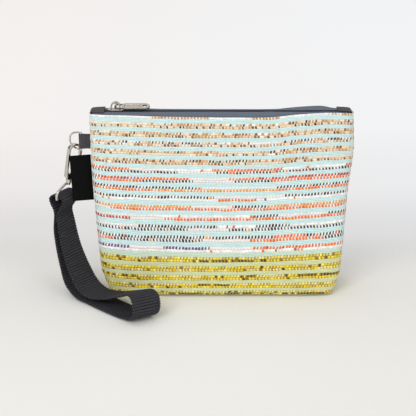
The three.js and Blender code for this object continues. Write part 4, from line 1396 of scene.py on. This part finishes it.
# %% Fold the label
LABEL_THICKNESS = 0.45
LABEL_LINES = 34
LABEL_YAW = math.radians(7.5)
LABEL_REACH = 17.2
LABEL_BEND = 0.4
LABEL_TRIM = 0.35
label_up = Vector(joints["label_swing"]["axis"]).normalized()
label_low, label_high = box_mm("side_label")
label_half = (label_high.z - label_low.z) / 2 - LABEL_TRIM
label_line = hairpin(LABEL_BEND, -LABEL_REACH, LABEL_BEND, LABEL_BEND, -LABEL_REACH / 2)
label, label_length = sweep_up(
    "label_cloth_strip", label_line, -label_half, label_half, LABEL_LINES, label_cloth, LABEL_THICKNESS
)
label_across = Vector((0, 1, 0)).cross(label_up)
turned = Matrix((label_across, (0, 1, 0), label_up)).transposed().to_4x4()
to_seam = Matrix.Translation(joints["label_swing"]["pos_m"])
label.data.transform(to_seam @ turned @ Matrix.Rotation(LABEL_YAW, 4, "Z"))
stand_for(label, "label", "side_label")

# %% [markdown]
# ## Wrist strap
# The strap is one closed band of ribbed webbing: it passes through the swivel's eye, its two runs
# are sewn together under it, and the long loop falls to the table and lies in front of the pouch.
# The route's points are those of the frame, taken along the band's middle and measured from the
# eye's bar, with the fold under the eye a little wider. A bevelled curve would twist as it likes,
# so the band is a thin rounded section swept along the route at a given bearing, with ribs across
# its width.

# %% Route the strap
STRAP_WIDTH = 25.4
STRAP_STEP = 0.42
STRAP_SPAN_STEPS = 60
# Across and along from the eye's bar, up from the table, and the bearing of the band's width.
STRAP_ROUTE = [
    (-4.5, 0.8, 71.5, 27), (-4.9, -1, 58, 29), (-2.7, -4.3, 43, 32), (1.2, -8.3, 26.3, 36),
    (6.4, -13.9, 11, 40), (15.8, -22.3, 2.8, 43), (28.7, -33.6, 1.4, 45), (47, -51.6, 1.4, 51),
    (60.9, -63.9, 1.5, 58), (69.5, -73.1, 5, 62), (72.1, -76.1, 12, 62), (71.3, -71.6, 19.3, 62),
    (67.2, -63.4, 21.8, 61), (57.6, -52.5, 16.2, 56), (41.7, -40.3, 8.6, 49), (28.3, -33.6, 7.4, 45),
    (19, -26.2, 11.4, 42), (10.1, -16.1, 24, 38), (3.4, -8.4, 40, 33), (-0.7, -3.2, 59, 29),
    (-2.5, -0.3, 71.5, 27), (-0.5, 0.2, 75.5, 28), (2.6, -1.2, 80.5, 30), (3.8, -1.9, 84.3, 30),
    (2.3, -1, 86.8, 30), (-1.6, 1.2, 87.7, 30), (-5.8, 3.6, 87.4, 30), (-8.1, 4.9, 84.9, 30),
    (-7.2, 4.2, 80.5, 30), (-5.1, 2.6, 75.3, 28),
]


def closed_curve(rows, per_span):
    """A closed centripetal curve through rows of numbers, the first three of them a place."""
    before, after, beyond = np.roll(rows, 1, 0), np.roll(rows, -1, 0), np.roll(rows, -2, 0)

    def knot(a, b):
        return np.sqrt(np.linalg.norm((b - a)[:, :3], axis=1))[:, None]

    d0, d1, d2 = knot(before, rows), knot(rows, after), knot(after, beyond)
    out = ((rows - before) / d0 - (after - before) / (d0 + d1) + (after - rows) / d1) * d1
    into = ((after - rows) / d1 - (beyond - rows) / (d1 + d2) + (beyond - after) / d2) * d1
    steps = np.linspace(0, 1, per_span, endpoint=False)
    return np.stack([bend_between(t, rows, after, out, into) for t in steps], 1).reshape(-1, rows.shape[1])


def width_at(bearing):
    turn = np.radians(bearing)
    return np.stack([np.sin(turn), np.cos(turn), np.zeros_like(turn)], -1)


def strap_line():
    """The band's near edge and the direction of its width, at even steps."""
    route = np.array(STRAP_ROUTE, float)
    route[:, :2] += np.array(joints["strap_swing"]["pos_m"][:2]) / MM
    route[:, :3] -= width_at(route[:, 3]) * STRAP_WIDTH / 2
    fine = closed_curve(route, STRAP_SPAN_STEPS)
    closed = np.vstack([fine, fine[:1]])
    length = lengths_along(closed[:, :3])
    places = np.linspace(0, length[-1], int(length[-1] / STRAP_STEP), endpoint=False)
    even = np.stack([np.interp(places, length, column) for column in closed.T], -1)
    return even[:, :3], width_at(even[:, 3]), places, length[-1]


strap_near, strap_across, strap_places, strap_length = strap_line()
print("strap", round(strap_length, 1), "mm round")

# %% Weave the strap
STRAP_HALF_THICKNESS = 0.8
STRAP_EDGE_POINTS = 15
STRAP_EDGE_POWER = 14
STRAP_EDGE_BUNCHING = 0.35
STRAP_RIB = 2.3
STRAP_RIB_RISE = 0.4
STRAP_RIB_LEVEL = 0.6
SELVEDGE_NOTCH = 0.9
SELVEDGE = 0.99


def weave_strap(near, width, places, total):
    face = np.cross(np.roll(near, -1, 0) - np.roll(near, 1, 0), width)
    face /= np.linalg.norm(face, axis=1, keepdims=True)
    bunched = (1 - np.cos(np.linspace(0, math.pi, STRAP_EDGE_POINTS))) / 2
    even = np.linspace(0, 1, STRAP_EDGE_POINTS)
    share = STRAP_EDGE_BUNCHING * bunched + (1 - STRAP_EDGE_BUNCHING) * even
    swell = (1 - np.abs(2 * share - 1) ** STRAP_EDGE_POWER) ** 0.5
    across = np.concatenate([share, share[-2:0:-1]])
    rise = np.concatenate([swell, -swell[-2:0:-1]])
    ribs = round(total / STRAP_RIB)
    ripple = np.abs(np.sin(math.pi * ribs * places / total))[:, None] - STRAP_RIB_LEVEL
    thick = rise * (STRAP_HALF_THICKNESS + STRAP_RIB_RISE * ripple)
    selvedge = np.sign(2 * across - 1) * (np.abs(2 * across - 1) > SELVEDGE)
    wide = STRAP_WIDTH * across + SELVEDGE_NOTCH * ripple * selvedge
    points = near[:, None] + width[:, None] * wide[..., None] + face[:, None] * thick[..., None]
    map_across = np.append(across, across[0]) * STRAP_WIDTH * MM
    map_down = np.append(places, total) * ribs * STRAP_RIB / total * MM
    faces = grid_faces(len(places), len(across), close_rows=True, close_columns=True)
    corner_map = grid_map(*np.meshgrid(map_across, map_down))
    return make_piece("strap_webbing", points, faces, webbing_cloth, corner_map)


strap = weave_strap(strap_near, strap_across, strap_places, strap_length)
edit(strap, bpy.ops.mesh.normals_make_consistent, inside=False)
stand_for(strap, "strap", "wrist_strap")
print("strap faces", len(strap.data.polygons))

# %% [markdown]
# ## Stitching
# A stitch is a short thread that dips at both ends. It could be drawn in the material, but a real
# one catches the light. One is shaped from a small sphere, and a line of copies follows each seam:
# along both rims where the tapes are sewn in, across the end tabs, and beside the ring's bar.

# %% Make a line of stitches
STITCH_RADIUS = 0.17
STITCH_FILL = 0.72
STITCH_AIM = 0.2
OFF_AXIS = (0.31, 0.17, 0.93)


def stitch_shape(length):
    """One stitch, with its points and faces sorted, because a new sphere's order isn't always the same."""
    bpy.ops.object.select_all(action="DESELECT")
    bpy.ops.mesh.primitive_uv_sphere_add(segments=8, ring_count=6, radius=1)
    ball = bpy.context.object
    edit(ball, bpy.ops.transform.resize, value=(length / 2, STITCH_RADIUS, STITCH_RADIUS))
    points = np.array([vertex.co for vertex in ball.data.vertices])
    order = np.lexsort(points.round(6).T)
    faces = [np.argsort(order)[list(face.vertices)] for face in ball.data.polygons]
    bpy.data.objects.remove(ball)
    return points[order], sorted(np.roll(face, -face.argmin()).tolist() for face in faces)


def sew(name, line, pitch, thread):
    length = lengths_along(line)
    count = max(1, int(length[-1] / pitch))
    shape, faces = stitch_shape(pitch * STITCH_FILL)
    all_points, all_faces = [], []
    for number in range(count):
        span = [(number + 0.5 + aim) * length[-1] / count for aim in (-STITCH_AIM, STITCH_AIM)]
        start, end = np.stack([np.interp(span, length, column) for column in line.T], -1)
        ahead = (end - start) / np.linalg.norm(end - start)
        side = np.cross(OFF_AXIS, ahead)
        side /= np.linalg.norm(side)
        basis = np.stack([ahead, side, np.cross(ahead, side)])
        first = number * len(shape)
        all_points.append(shape @ basis + (start + end) / 2)
        all_faces += [[first + corner for corner in face] for face in faces]
    print(name, count, "stitches")
    return make_piece(name, np.concatenate(all_points), all_faces, thread)


# %% Sew the rims
RIM_STITCH = 2.6
RIM_SEAM_IN = 1.5
RIM_SEAM_REACH = 96
RIM_SEAM_RISE = 0.1
RIM_SEAM_POINTS = 60
for half, side, stretch, x0, x1, _ in stretches("tape"):
    x = np.linspace(max(x0, -RIM_SEAM_REACH), min(x1, RIM_SEAM_REACH), RIM_SEAM_POINTS)
    y = side * (rim_edge(x, RIM_CLEARANCE) - RIM_SEAM_IN)
    line = np.stack([x, y, tape_top + zip_wave(x, y) + RIM_SEAM_RISE], -1)
    carry_zip(sew(f"rim_stitches_{half}_{stretch}", line, RIM_STITCH, grey_thread), stretch)

# %% Sew the tabs and the ribbon
TAB_STITCH = 2.4
TAB_SEAM_IN = 1.4
TAB_SEAM_REACH = 8.6
TAB_SEAM_CROWN = 0.22
TAB_SEAM_POINTS = 30
TAB_CROWN_REACH = 9.4
RIBBON_STITCH = 2.2
RIBBON_SEAM_AT = 5.0
RIBBON_SEAM_OUT = 0.82
RIBBON_SEAM_END = 1
RIBBON_SEAM_POINTS = 20
for end, side in (("left", -1), ("right", 1)):
    low, high = box_mm(f"zip_end_tab_{end}")
    y = np.linspace(-TAB_SEAM_REACH, TAB_SEAM_REACH, TAB_SEAM_POINTS)
    x = np.full_like(y, side * (min(abs(low.x), abs(high.x)) + TAB_SEAM_IN))
    z = high.z - TAB_PRESSED + zip_wave(x, y) + TAB_SEAM_CROWN * (1 - (y / TAB_CROWN_REACH) ** 2)
    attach(sew(f"tab_stitches_{end}", np.stack([x, y, z], -1), TAB_STITCH, dark_thread), "pouch")

for face, side in (("front", -1), ("back", 1)):
    low, high = ribbon_span[0] + RIBBON_SEAM_END, ribbon_span[1] - RIBBON_SEAM_END
    z = np.linspace(low, high, RIBBON_SEAM_POINTS)
    line = np.stack([np.full_like(z, bar_x + RIBBON_SEAM_AT), np.full_like(z, side * RIBBON_SEAM_OUT), z], -1)
    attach(sew(f"ribbon_stitches_{face}", line, RIBBON_STITCH, dark_thread), "pouch")
